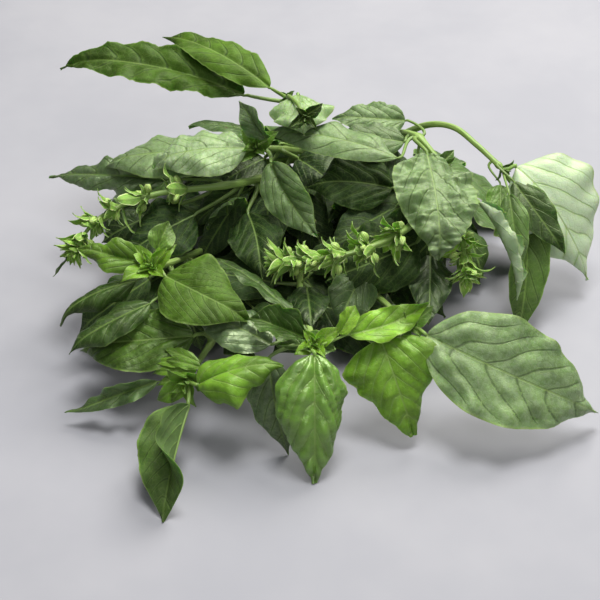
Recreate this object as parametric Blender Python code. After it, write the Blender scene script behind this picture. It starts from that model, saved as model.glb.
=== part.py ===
"""A loose bunch of fresh basil lying on a flat surface, as it is put down on a table.

Thirteen cut sprigs lie with their stem ends together at the back (+Y) and fan out to the front and
both sides. Each sprig is a stem with leaves on stalks, and three of the stems end in a flower spike.
Every stem and every leaf is one closed solid in its own node. The tables below are in millimetres
in the layout frame: +X right, +Y away from the front, +Z up, the table at Z = 0.
"""

import math
from collections import namedtuple

import bpy
from mathutils import Matrix, Vector

for old in list(bpy.data.objects):
    bpy.data.objects.remove(old)

MM = 0.001
ORIGIN = Vector((10.0, 29.6, 0.3))  # layout point at the middle of the bunch's base, the object's origin
GAP = 0.35  # clearance between a leaf stalk and the stem that bears it

ROUTE_POINTS = 61  # points along a stem's route, for finding places on it
SPAN_STEPS = 24  # steps between two given points of a route, for spacing those points evenly
STEM_SECTIONS = 12  # lengths of stem between cross-sections
STEM_SIDE_RESOLUTION = 1  # bevel resolution, which gives eight sides
CUT_RADIUS = 2.2  # stem radius at the cut end
TIP_RADIUS = 1.2  # stem radius under the top leaves

WHORL_SECTIONS = 4  # lengths between cross-sections in each whorl, a ring of flower cups
WHORL_RADIUS = 7.4  # reach of the lowest whorl from the spike's axis
WHORL_SHRINK = 0.3  # share of that reach lost by the spike's tip

STALK_RADIUS = 0.8
STALK_STATIONS = 3
STALK_TURNS = (180, 135, 90, 45, 0, -45, -90, -135)  # the eight corners of a stalk's section, in degrees
TIP_LEAN = 0.5  # how far the stalk of a topmost leaf leans along the stem instead of away from it
BLADE_STATIONS = 10
BLADE_THICKNESS = 0.8  # at the midrib, running out to nothing at the margin
HALF_STEPS = (-1.0, -0.55, 0.0, 0.55, 1.0)  # places across a blade, as shares of its half width
OUTLINE_BASE = 0.55  # how blunt the outline is at the base
OUTLINE_TIP = 0.95  # how drawn out it is at the tip
END_SHARE = 0.015  # the solid starts and ends this share of the blade's length inside its outline
HANDLE = 0.36  # length of the midrib's curve handles, as a share of the blade's length
RIB_FADE = 6  # the midrib thins from the stalk's thickness to nothing over 1 / RIB_FADE of the blade
TWIST_PIVOT = 0.3  # share of the blade's length that a twist leaves unturned

LEAF_GREEN = (0.13, 0.26, 0.05, 1.0)
STEM_GREEN = (0.30, 0.46, 0.12, 1.0)

# A stem's route runs from its cut end to its tip.
STEMS = {
    "crown": [(15.4, 148, 11.6), (10, 128, 34), (0, 108, 62), (-6, 94, 79)],
    "top_right": [(20.8, 150, 11.8), (34, 120, 36), (45, 92, 61), (54, 73, 71), (64, 59, 66)],
    "top_left": [(10.2, 149, 11.4), (2, 122, 30), (-10, 92, 52), (-20, 66, 70)],
    "right_back": [(26, 147, 11.6), (46, 124, 36), (60, 100, 60), (72, 89, 66), (82, 77, 64), (93, 65, 59)],
    "rosette": [(4.4, 146, 2.2), (-18, 104, 8), (-40, 60, 20), (-56, 26, 36), (-64, 6, 48)],
    "low_left": [(10.2, 150, 2.2), (-4, 98, 7), (-22, 44, 12), (-36, -4, 20), (-47, -42, 27)],
    "front": [(15.4, 145, 2.2), (6, 90, 8), (0, 40, 16), (2, -4, 32), (6, -38, 43)],
    "right_front": [(20.8, 149, 2.2), (22, 90, 8), (28, 40, 16), (38, 0, 32), (46, -26, 43)],
    "back_left": [(7.6, 152, 6.9), (-10, 134, 16), (-32, 122, 24), (-50, 116, 26)],
    "back_right": [(31.2, 152, 2.2), (44, 135, 9), (56, 121, 20), (67, 112, 26)],
    "flower_left": [
        (12.8, 146, 6.9), (0, 112, 22), (-12, 84, 42), (-26, 60, 55), (-38, 54, 57),
        (-66, 49, 56), (-90, 38, 51), (-101, 20, 44),
    ],
    "flower_centre": [
        (23.2, 146, 6.9), (36, 106, 24), (52, 66, 46), (55, 38, 55), (42, 19, 56), (20, 8, 54), (-12, 7, 50),
    ],
    "flower_right": [(28.4, 150, 6.9), (52, 108, 20), (70, 72, 37), (73, 46, 46), (73, 30, 43), (74, 15, 34)],
}
# Where a flower spike starts on its stem, as a share of the stem's length, and its number of whorls.
SPIKES = {"flower_left": (0.6, 6), "flower_centre": (0.64, 5), "flower_right": (0.8, 3)}

# at is the place along the stem, 0 to 1. base and tip are the ends of the blade, and face is the way
# its upper side looks. rise and droop turn the midrib up at the base and down at the tip, sweep bends
# it sideways, and twist turns the blade along its length. fold lifts both halves off the midrib and
# cup curls them further up, or down where it is negative. Angles are in degrees.
Leaf = namedtuple(
    "Leaf",
    "name stem at base tip width face rise droop sweep twist fold cup",
    defaults=(10, 15, 0, 0, 14, -36),
)
LEAVES = [
    Leaf("crown_long", "crown", 0.92, (-26, 102, 76), (-117, 117, 86), 23,
         (0, -0.35, 1), 14, 12, 6, -12, 14, -24),
    Leaf("crown_back", "crown", 1.0, (-14, 92, 86), (-67, 133, 91), 20, (0.1, -0.4, 1), 16, 14, 4, 10),
    Leaf("crown_cap", "crown", 0.95, (-1, 86, 86), (2, 62, 79), 29, (0, -0.2, 1), 14, 40, 0, 0, 10, -60),
    Leaf("crown_rear", "crown", 0.5, (2, 122, 46), (-16, 152, 0.5), 30, (0, 1, 0.5), 20, 20, 8, 10),
    Leaf("top_pale", "top_right", 0.84, (44, 54, 73), (-18, 76, 73), 19,
         (0, -0.3, 1), 12, 10, 4, 0, 8, -50),
    Leaf("top_ridge", "top_right", 0.86, (49, 86, 72), (14, 88, 73), 17, (0.3, -0.6, 0.8), 14, 18, -6, 10),
    Leaf("crinkled", "top_right", 0.86, (57, 56, 74), (61, 8, 49), 37,
         (0.1, -0.5, 1), 20, 35, 0, 0, 10, -40),
    Leaf("top_rear", "top_right", 0.5, (32, 114, 52), (38, 156, 16), 28, (0, 1, 0.8), 20, 20),
    Leaf("left_pale", "top_left", 0.97, (-24, 62, 73), (-69, 57, 66), 28,
         (0, -0.35, 1), 12, 30, 4, 0, 10, -44),
    Leaf("left_behind", "top_left", 0.93, (-32, 71, 66), (-94, 71, 58), 26,
         (0, -0.3, 1), 12, 20, -4, -8, 10, -60),
    Leaf("left_ridge", "top_left", 1.0, (-18, 80, 69), (-52, 84, 70), 18, (0, 0.2, 1)),
    Leaf("left_upright", "top_left", 1.0, (-15, 64, 76), (-27, 69, 93), 14,
         (-0.3, -1, 0.3), 10, 20, 6, 20, 26, -20),
    Leaf("inner_hanging", "top_left", 0.9, (-13, 58, 67), (8, 33, 44), 22,
         (-0.2, -1, 0.6), 15, 10, 8, -14, 18, -26),
    Leaf("left_rear", "top_left", 0.6, (-18, 94, 50), (-64, 106, 34), 28, (-0.2, 0.6, 1), 14, 22, 8, 12),
    Leaf("mid_rear", "top_left", 0.32, (-10, 118, 38), (-44, 136, 26), 27, (-0.2, 0.8, 1)),
    Leaf("left_curled", "flower_left", 0.59, (-62, 64, 54), (-120, 79, 46), 17,
         (0, -0.5, 1), 6, 8, 0, 0, 20, -90),
    Leaf("inner_left", "flower_left", 0.48, (-24, 52, 44), (-17, 14, 34), 25,
         (0, -0.8, 0.8), 16, 22, -8, 12),
    Leaf("inner_far_left", "flower_left", 0.54, (-48, 48, 46), (-79, 30, 36), 29, (-0.2, -0.6, 0.8)),
    Leaf("inner_right", "flower_centre", 0.54, (42, 56, 55), (2, 60, 53), 28, (0, -0.5, 1), 14, 22, 6, 10),
    Leaf("inner_centre", "flower_centre", 0.61, (52, 27, 46), (10, 13, 35), 33,
         (0, -0.6, 0.8), 12, 20, -6, 8),
    Leaf("rosette_right", "rosette", 0.99, (-58, -1, 50), (-21, -24, 45), 33,
         (0.1, -0.5, 1), 14, 18, 6, 0, 12, -34),
    Leaf("rosette_left", "rosette", 1.0, (-69, 7, 51), (-97, 16, 52), 15,
         (0, -0.4, 1), 10, 16, -8, 10, 20, -24),
    Leaf("inner_low", "front", 0.6, (12, 21, 14), (52, -4, 7), 34, (0, -0.3, 1)),
    Leaf("rosette_low", "rosette", 0.95, (-71, 4, 43), (-107, -8, 30), 17, (-0.2, -0.2, 1), 14, 12, 8),
    Leaf("rosette_under", "rosette", 0.88, (-64, -10, 42), (-100, -26, 28), 18, (-0.2, -0.3, 1)),
    Leaf("low_large", "low_left", 0.85, (-45, -23, 35), (-98, -15, 21), 30,
         (0, -0.4, 1), 12, 16, -6, 0, 12, -34),
    Leaf("low_narrow", "low_left", 1.0, (-60, -38, 22), (-99, -41, 5), 10, (-0.2, -0.6, 1), 10, 10, 0, 40),
    Leaf("low_bright", "low_left", 1.0, (-42, -50, 32), (-6, -49, 42), 26,
         (0, -0.5, 1), 20, 30, -8, -16, 18, -50),
    Leaf("low_hanging", "low_left", 1.0, (-46, -55, 25), (-55, -97, 0.6), 31,
         (-0.4, -1, 0.3), 10, 10, 0, 0, 30, -20),
    Leaf("front_glossy", "front", 1.0, (6, -46, 45), (6, -75, 0), 32, (0, -1, 0.5), 35, 14),
    Leaf("front_dark", "front", 0.97, (-13, -42, 38), (-5, -60, 0.3), 22,
         (-0.3, -1, 0.4), 20, 8, 0, 14, 20, -20),
    Leaf("front_folded", "front", 1.0, (2, -37, 46), (-22, -25, 47), 20, (0, -0.3, 1), 10, 10, 0, 0, 30, 0),
    Leaf("front_band", "front", 0.95, (-4, -20, 46), (-44, 17, 47), 15, (0.4, 0.4, 1)),
    Leaf("front_bluish", "front", 0.9, (-12, -34, 40), (-46, -12, 36), 22, (0, -0.4, 1), 10, 15, 6, 10),
    Leaf("front_wavy", "front", 1.0, (20, -36, 47), (54, -25, 56), 15,
         (0, -0.6, 1), -10, -30, 10, 24, 20, -10),
    Leaf("right_bright", "right_front", 0.97, (33, -33, 43), (48, -56, 7), 36,
         (0.1, -1, 0.6), 30, 10, 0, -8, 8, -22),
    Leaf("right_large", "right_front", 1.0, (52, -34, 45), (129, -49, 13), 44,
         (-0.1, -0.8, 1), 14, 18, 5, 6, 10, -22),
    Leaf("right_curled", "flower_right", 0.77, (80, 38, 60), (98, 10, 26), 16, (0.8, -0.6, 0.6), 20, 20),
    Leaf("right_inner", "flower_right", 0.72, (59, 32, 35), (56, -6, 26), 20, (0, -0.6, 0.8)),
    Leaf("drooping_large", "right_back", 1.0, (99, 65, 61), (137, 40, 13), 50,
         (0.25, -0.45, 1), 30, 10, 0, 0, 16, -30),
    Leaf("drooping_inner", "right_back", 1.0, (94, 46, 58), (99, 25, 32), 14, (-0.1, -0.8, 0.6), 20, 10),
    Leaf("drooping_long", "right_back", 1.0, (103, 58, 46), (99, 12, 0), 22,
         (0.2, -0.8, 0.8), 20, 14, -5, 10, 22, -26),
    Leaf("right_side", "flower_right", 0.45, (78, 80, 30), (113, 66, 2), 26, (0.3, 0.2, 1), 14, 16, 6, 6),
    Leaf("back_left_side", "back_left", 1.0, (-56, 116, 27), (-104, 98, 0.4), 30,
         (0, 0.2, 1), 14, 16, 8, 8),
    Leaf("back_left_rear", "back_left", 0.95, (-48, 123, 26), (-68, 156, 0.4), 28,
         (-0.2, 0.4, 1), 14, 16, -8, -8),
    Leaf("back_right_side", "back_right", 1.0, (72, 111, 26), (116, 98, 0.4), 30,
         (0, 0.2, 1), 14, 16, -8, -8),
    Leaf("back_right_rear", "back_right", 0.95, (64, 120, 26), (80, 156, 0.4), 28,
         (0.2, 0.4, 1), 14, 16, 8, 8),
]


def smooth_route(points, count):
    """count points evenly spread along a Catmull-Rom curve through the given ones."""
    knots = [Vector(p) for p in points]
    knots = [2 * knots[0] - knots[1], *knots, 2 * knots[-1] - knots[-2]]
    fine = []
    for a, b, c, d in zip(knots, knots[1:], knots[2:], knots[3:]):
        for step in range(SPAN_STEPS):
            t = step / SPAN_STEPS
            linear = (c - a) * t
            square = (2 * a - 5 * b + 4 * c - d) * t**2
            cube = (3 * b - a - 3 * c + d) * t**3
            fine.append(0.5 * (2 * b + linear + square + cube))
    fine.append(knots[-2])
    run = [0.0]
    for p, q in zip(fine, fine[1:]):
        run.append(run[-1] + (q - p).length)
    spread, k = [], 0
    for i in range(count):
        wanted = run[-1] * i / (count - 1)
        while k < len(run) - 2 and run[k + 1] < wanted:
            k += 1
        spread.append(fine[k].lerp(fine[k + 1], min((wanted - run[k]) / (run[k + 1] - run[k]), 1.0)))
    return spread


def on_stem(name, share):
    """The point and the direction at a share of the way along a stem."""
    route = ROUTES[name]
    spot = share * (len(route) - 1)
    k = min(int(spot), len(route) - 2)
    return route[k].lerp(route[k + 1], spot - k), (route[k + 1] - route[k]).normalized()


def stem_radius(share):
    return CUT_RADIUS + (TIP_RADIUS - CUT_RADIUS) * share


def cubic(a, b, c, d, t):
    """The point and the direction at t on a Bezier curve."""
    u = 1 - t
    point = a * u**3 + b * (3 * u * u * t) + c * (3 * u * t * t) + d * t**3
    slope = (b - a) * (u * u) + (c - b) * (2 * u * t) + (d - c) * (t * t)
    return point, slope.normalized()


def half_width(leaf, s):
    """Half the blade's width at share s of its length."""
    peak = OUTLINE_BASE / (OUTLINE_BASE + OUTLINE_TIP)
    return leaf.width / 2 * (s / peak) ** OUTLINE_BASE * ((1 - s) / (1 - peak)) ** OUTLINE_TIP


def square_to(direction, along):
    """The part of a direction that is square to another one."""
    return (direction - along * direction.dot(along)).normalized()


def leaf_frames(leaf):
    """Frames down the stalk and the blade: (point, sideways, upward, share of the blade or None)."""
    base, tip = Vector(leaf.base), Vector(leaf.tip)
    chord, length = (tip - base).normalized(), (tip - base).length
    up = square_to(Vector(leaf.face), chord)
    side = chord.cross(up)
    rise, droop, sweep = (math.radians(a) for a in (leaf.rise, leaf.droop, leaf.sweep))
    first = (chord * math.cos(rise) + up * math.sin(rise) + side * math.tan(sweep)).normalized()
    last = (chord * math.cos(droop) - up * math.sin(droop) - side * math.tan(sweep)).normalized()

    node, along = on_stem(leaf.stem, leaf.at)
    if leaf.at == 1.0:
        out = square_to(base - node, along).lerp(along, TIP_LEAN).normalized()
    else:
        out = square_to(base - node, along)
    start = node + out * (stem_radius(leaf.at) + STALK_RADIUS + GAP)
    reach = (base - start).length / 3

    frames = []
    for i in range(STALK_STATIONS):
        t = i / STALK_STATIONS
        point, ahead = cubic(start, start + out * reach, base - first * reach, base, t)
        frames.append((point, ahead, None))
    for i in range(BLADE_STATIONS):
        s = END_SHARE + (1 - 2 * END_SHARE) * i / (BLADE_STATIONS - 1)
        handle = length * HANDLE
        point, ahead = cubic(base, base + first * handle, tip - last * handle, tip, s)
        frames.append((point, ahead, s))
    framed = []
    for point, ahead, s in frames:
        turn = math.radians(leaf.twist) * ((s or 0) - TWIST_PIVOT)
        upward = Matrix.Rotation(turn, 3, ahead) @ square_to(up, ahead)
        framed.append((point, ahead.cross(upward), upward, s))
    return framed


def leaf_ring(leaf, point, side, upward, s):
    """One closed cross-section: over the upper side, then back along the underside."""
    if s is None:
        return [
            point + (side * math.cos(math.radians(a)) + upward * math.sin(math.radians(a))) * STALK_RADIUS
            for a in STALK_TURNS
        ]
    width = half_width(leaf, s)
    over, under = [], []
    for t in HALF_STEPS:
        angle = math.radians(leaf.fold + leaf.cup * abs(t) / 2)
        spot = point + side * (width * t * math.cos(angle)) + upward * (width * abs(t) * math.sin(angle))
        over.append(spot)
        if abs(t) < 1:
            depth = max(BLADE_THICKNESS, 2 * STALK_RADIUS * (1 - RIB_FADE * s)) if t == 0 else BLADE_THICKNESS
            under.append(spot - upward * depth)
    return over + under[::-1]


def place(name, data, colour, point):
    """Links a new object to the scene with its origin at a layout point, and gives it a material."""
    made = bpy.data.objects.new(name, data)
    made.location = (point - ORIGIN) * MM
    made.parent = bunch
    bpy.context.collection.objects.link(made)
    material = bpy.data.materials.new(name)
    material.use_nodes = True
    shader = material.node_tree.nodes["Principled BSDF"]
    shader.inputs["Base Color"].default_value = colour
    shader.inputs["Roughness"].default_value = 0.5
    shader.inputs["Metallic"].default_value = 0.0
    data.materials.append(material)


def add_leaf(leaf):
    frames = leaf_frames(leaf)
    foot = frames[0][0]
    rings = [leaf_ring(leaf, point, side, upward, s) for point, side, upward, s in frames]
    n = len(rings[0])
    points = [(p - foot) * MM for ring in rings for p in ring]
    faces = [tuple(reversed(range(n)))]
    for r in range(len(rings) - 1):
        for k in range(n):
            a, b = r * n + k, r * n + (k + 1) % n
            faces.append((a, b, b + n, a + n))
    faces.append(tuple(range((len(rings) - 1) * n, len(rings) * n)))
    mesh = bpy.data.meshes.new("leaf_" + leaf.name)
    mesh.from_pydata(points, [], faces)
    mesh.shade_smooth()
    place("leaf_" + leaf.name, mesh, LEAF_GREEN, foot)


def add_rod(name, points, radii, colour):
    """A round rod with filled ends, whose radius changes along its route."""
    curve = bpy.data.curves.new(name, "CURVE")
    curve.dimensions = "3D"
    curve.bevel_depth = MM
    curve.bevel_resolution = STEM_SIDE_RESOLUTION
    curve.use_fill_caps = True
    curve.resolution_u = 1
    spline = curve.splines.new("POLY")
    spline.points.add(len(points) - 1)
    for knot, point, radius in zip(spline.points, points, radii):
        knot.co = (*((point - points[0]) * MM), 1.0)
        knot.radius = radius
    spline.use_smooth = True
    place(name, curve, colour, points[0])


def add_stem(name):
    """A tapering stem, which swells into a bead at each whorl of its flower spike."""
    start, whorls = SPIKES.get(name, (1.0, 0))
    shares = [start * i / STEM_SECTIONS for i in range(STEM_SECTIONS + 1)]
    radii = [stem_radius(share) for share in shares]
    for i in range(1, whorls * WHORL_SECTIONS + 1):
        along = i / (whorls * WHORL_SECTIONS)
        reach = WHORL_RADIUS * (1 - WHORL_SHRINK * along)
        swell = math.sin(math.pi * i / WHORL_SECTIONS) ** 2
        shares.append(start + (1 - start) * along)
        radii.append(TIP_RADIUS + (reach - TIP_RADIUS) * swell)
    points = [on_stem(name, share)[0] for share in shares]
    add_rod("stem_" + name, points, radii, STEM_GREEN)


ROUTES = {name: smooth_route(route, ROUTE_POINTS) for name, route in STEMS.items()}

bunch = bpy.data.objects.new("basil_bunch", None)
bpy.context.collection.objects.link(bunch)

for stem_name in STEMS:
    add_stem(stem_name)
for leaf in LEAVES:
    add_leaf(leaf)
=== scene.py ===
"""The look of a loose bunch of fresh basil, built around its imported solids.

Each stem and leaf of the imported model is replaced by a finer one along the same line: leaves with
veins, puffed blades, toothed margins and stalks, and square stems with hollow cut ends. Flower cups,
bracts, shoot tips and side leaves are added on the same stems. The tables are in millimetres in the
layout frame: +X right, +Y away from the front, +Z up, the table at Z = 0.
"""

import math
import random
from collections import namedtuple

import bpy
import numpy as np
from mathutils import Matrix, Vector


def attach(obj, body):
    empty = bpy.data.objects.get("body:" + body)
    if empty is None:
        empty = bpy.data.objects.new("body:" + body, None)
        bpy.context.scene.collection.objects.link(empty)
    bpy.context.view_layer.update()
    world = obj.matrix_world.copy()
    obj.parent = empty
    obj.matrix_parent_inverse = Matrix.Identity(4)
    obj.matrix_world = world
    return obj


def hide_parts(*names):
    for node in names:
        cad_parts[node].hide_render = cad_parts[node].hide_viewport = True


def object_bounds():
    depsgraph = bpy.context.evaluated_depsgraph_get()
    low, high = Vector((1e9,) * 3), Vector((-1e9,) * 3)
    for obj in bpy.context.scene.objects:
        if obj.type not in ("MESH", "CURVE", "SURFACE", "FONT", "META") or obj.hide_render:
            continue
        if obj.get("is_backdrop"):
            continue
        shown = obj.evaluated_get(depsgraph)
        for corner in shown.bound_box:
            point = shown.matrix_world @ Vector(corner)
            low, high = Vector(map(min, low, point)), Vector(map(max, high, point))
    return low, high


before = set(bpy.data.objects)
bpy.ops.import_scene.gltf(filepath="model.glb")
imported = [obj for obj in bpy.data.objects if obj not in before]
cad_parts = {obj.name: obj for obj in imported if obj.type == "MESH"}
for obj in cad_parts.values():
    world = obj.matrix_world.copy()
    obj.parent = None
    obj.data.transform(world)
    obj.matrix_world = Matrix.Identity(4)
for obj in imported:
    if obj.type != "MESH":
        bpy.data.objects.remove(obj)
CAD_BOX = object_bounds()
scene = bpy.context.scene

# ---- sizes in mm, stems and leaves ----

MM = 0.001
ORIGIN = np.array([10.0, 29.6, 0.3])  # the layout point at the object's origin
LOWEST = ORIGIN[2] + 0.05  # the height at which a leaf lies flat on the table

ROUTE_POINTS = 121  # points along a stem's route, for finding places on it
SPAN_STEPS = 24  # steps between two given points of a route, for spacing those points evenly
CUT_RADIUS = 2.2  # stem radius at the cut end
TIP_RADIUS = 1.2  # stem radius under the top leaves
STEM_SECTION = 2.2  # length of stem between two cross-sections
STEM_SIDES = 16
STEM_SQUARE = 0.075  # how far a stem's corners stand out, as a share of its radius
NODE_SWELL = 0.22  # how much thicker a stem is where a leaf stands, as a share of its radius
NODE_LENGTH = 3.0  # and over what length
SPIKE_THINNER = 0.35  # how much thinner it gets along a spike
CUT_HOLE = [(2.2, 0.25), (0.5, 0.85), (-0.05, 1.15), (0.0, 1.9)]  # its cut end's hole: depth and radius
GIRTH = 12  # what the finishes count as once around a stem, in mm

STALK_RADIUS = 0.8
STALK_STEPS = 10
GAP = 0.35  # clearance between a leaf stalk and the stem that bears it
HANDLE = 0.36  # length of the midrib's curve handles, as a share of the blade's length
TWIST_PIVOT = 0.3  # share of the blade's length that a twist leaves unturned
CURL_LENGTH = 50  # a shorter blade's tip curls less, in proportion
LOW_TIP = 3  # a tip that is this low lies flat on the table and doesn't curl
FULL_WIDTH = 26  # a narrower blade's relief is lower, in proportion
RIB_FULL_WIDTH = 24  # and a narrower one's midrib is thinner
WAVE_LENGTH = 26  # length of margin to a wave
TOOTH = 5.5  # length of margin to a tooth
BOW = 2.2  # how strongly side veins curve towards the tip
RIB_GROOVE = 0.9  # how deep the midrib lies
SWELL_SHARE = 0.075  # height of a blade's large soft swells, as a share of its width
BLADE_THICKNESS = 0.34
MARGIN_THINNER = 0.2  # what the blade loses of that at its margin
VEIN_THICKER = 0.16  # and gains over a vein
LEAF_GRID = (73, 23, 8)  # a leaf's rows and columns of points, and its stalk's sides
SMALL_GRID = (41, 15, 6)  # the same for a small leaf
SIDE_GRID = (29, 11, 5)  # and for a side leaf
UPPER_SIDE = 10  # added to the vein phase, so that it is above 0 on the upper side and below on the under

STEMS = {
    "crown": [(15.4, 148, 11.6), (10, 128, 34), (0, 108, 62), (-6, 94, 79)],
    "top_right": [(20.8, 150, 11.8), (34, 120, 36), (45, 92, 61), (54, 73, 71), (64, 59, 66)],
    "top_left": [(10.2, 149, 11.4), (2, 122, 30), (-10, 92, 52), (-20, 66, 70)],
    "right_back": [(26, 147, 11.6), (46, 124, 36), (60, 100, 60), (72, 89, 66), (82, 77, 64), (93, 65, 59)],
    "rosette": [(4.4, 146, 2.2), (-18, 104, 8), (-40, 60, 20), (-56, 26, 36), (-64, 6, 48)],
    "low_left": [(10.2, 150, 2.2), (-4, 98, 7), (-22, 44, 12), (-36, -4, 20), (-47, -42, 27)],
    "front": [(15.4, 145, 2.2), (6, 90, 8), (0, 40, 16), (2, -4, 32), (6, -38, 43)],
    "right_front": [(20.8, 149, 2.2), (22, 90, 8), (28, 40, 16), (38, 0, 32), (46, -26, 43)],
    "back_left": [(7.6, 152, 6.9), (-10, 134, 16), (-32, 122, 24), (-50, 116, 26)],
    "back_right": [(31.2, 152, 2.2), (44, 135, 9), (56, 121, 20), (67, 112, 26)],
    "flower_left": [
        (12.8, 146, 6.9), (0, 112, 22), (-12, 84, 42), (-26, 60, 55), (-38, 54, 57),
        (-66, 49, 56), (-90, 38, 51), (-101, 20, 44),
    ],
    "flower_centre": [
        (23.2, 146, 6.9), (36, 106, 24), (52, 66, 46), (55, 38, 55), (42, 19, 56), (20, 8, 54), (-12, 7, 50),
    ],
    "flower_right": [(28.4, 150, 6.9), (52, 108, 20), (70, 72, 37), (73, 46, 46), (73, 30, 43), (74, 15, 34)],
}
# Each spike: the share of its stem where it starts, its number of whorls, and the first one's flower cups.
SPIKES = {"flower_left": (0.60, 5, 4), "flower_centre": (0.64, 5, 6), "flower_right": (0.82, 3, 3)}

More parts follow.
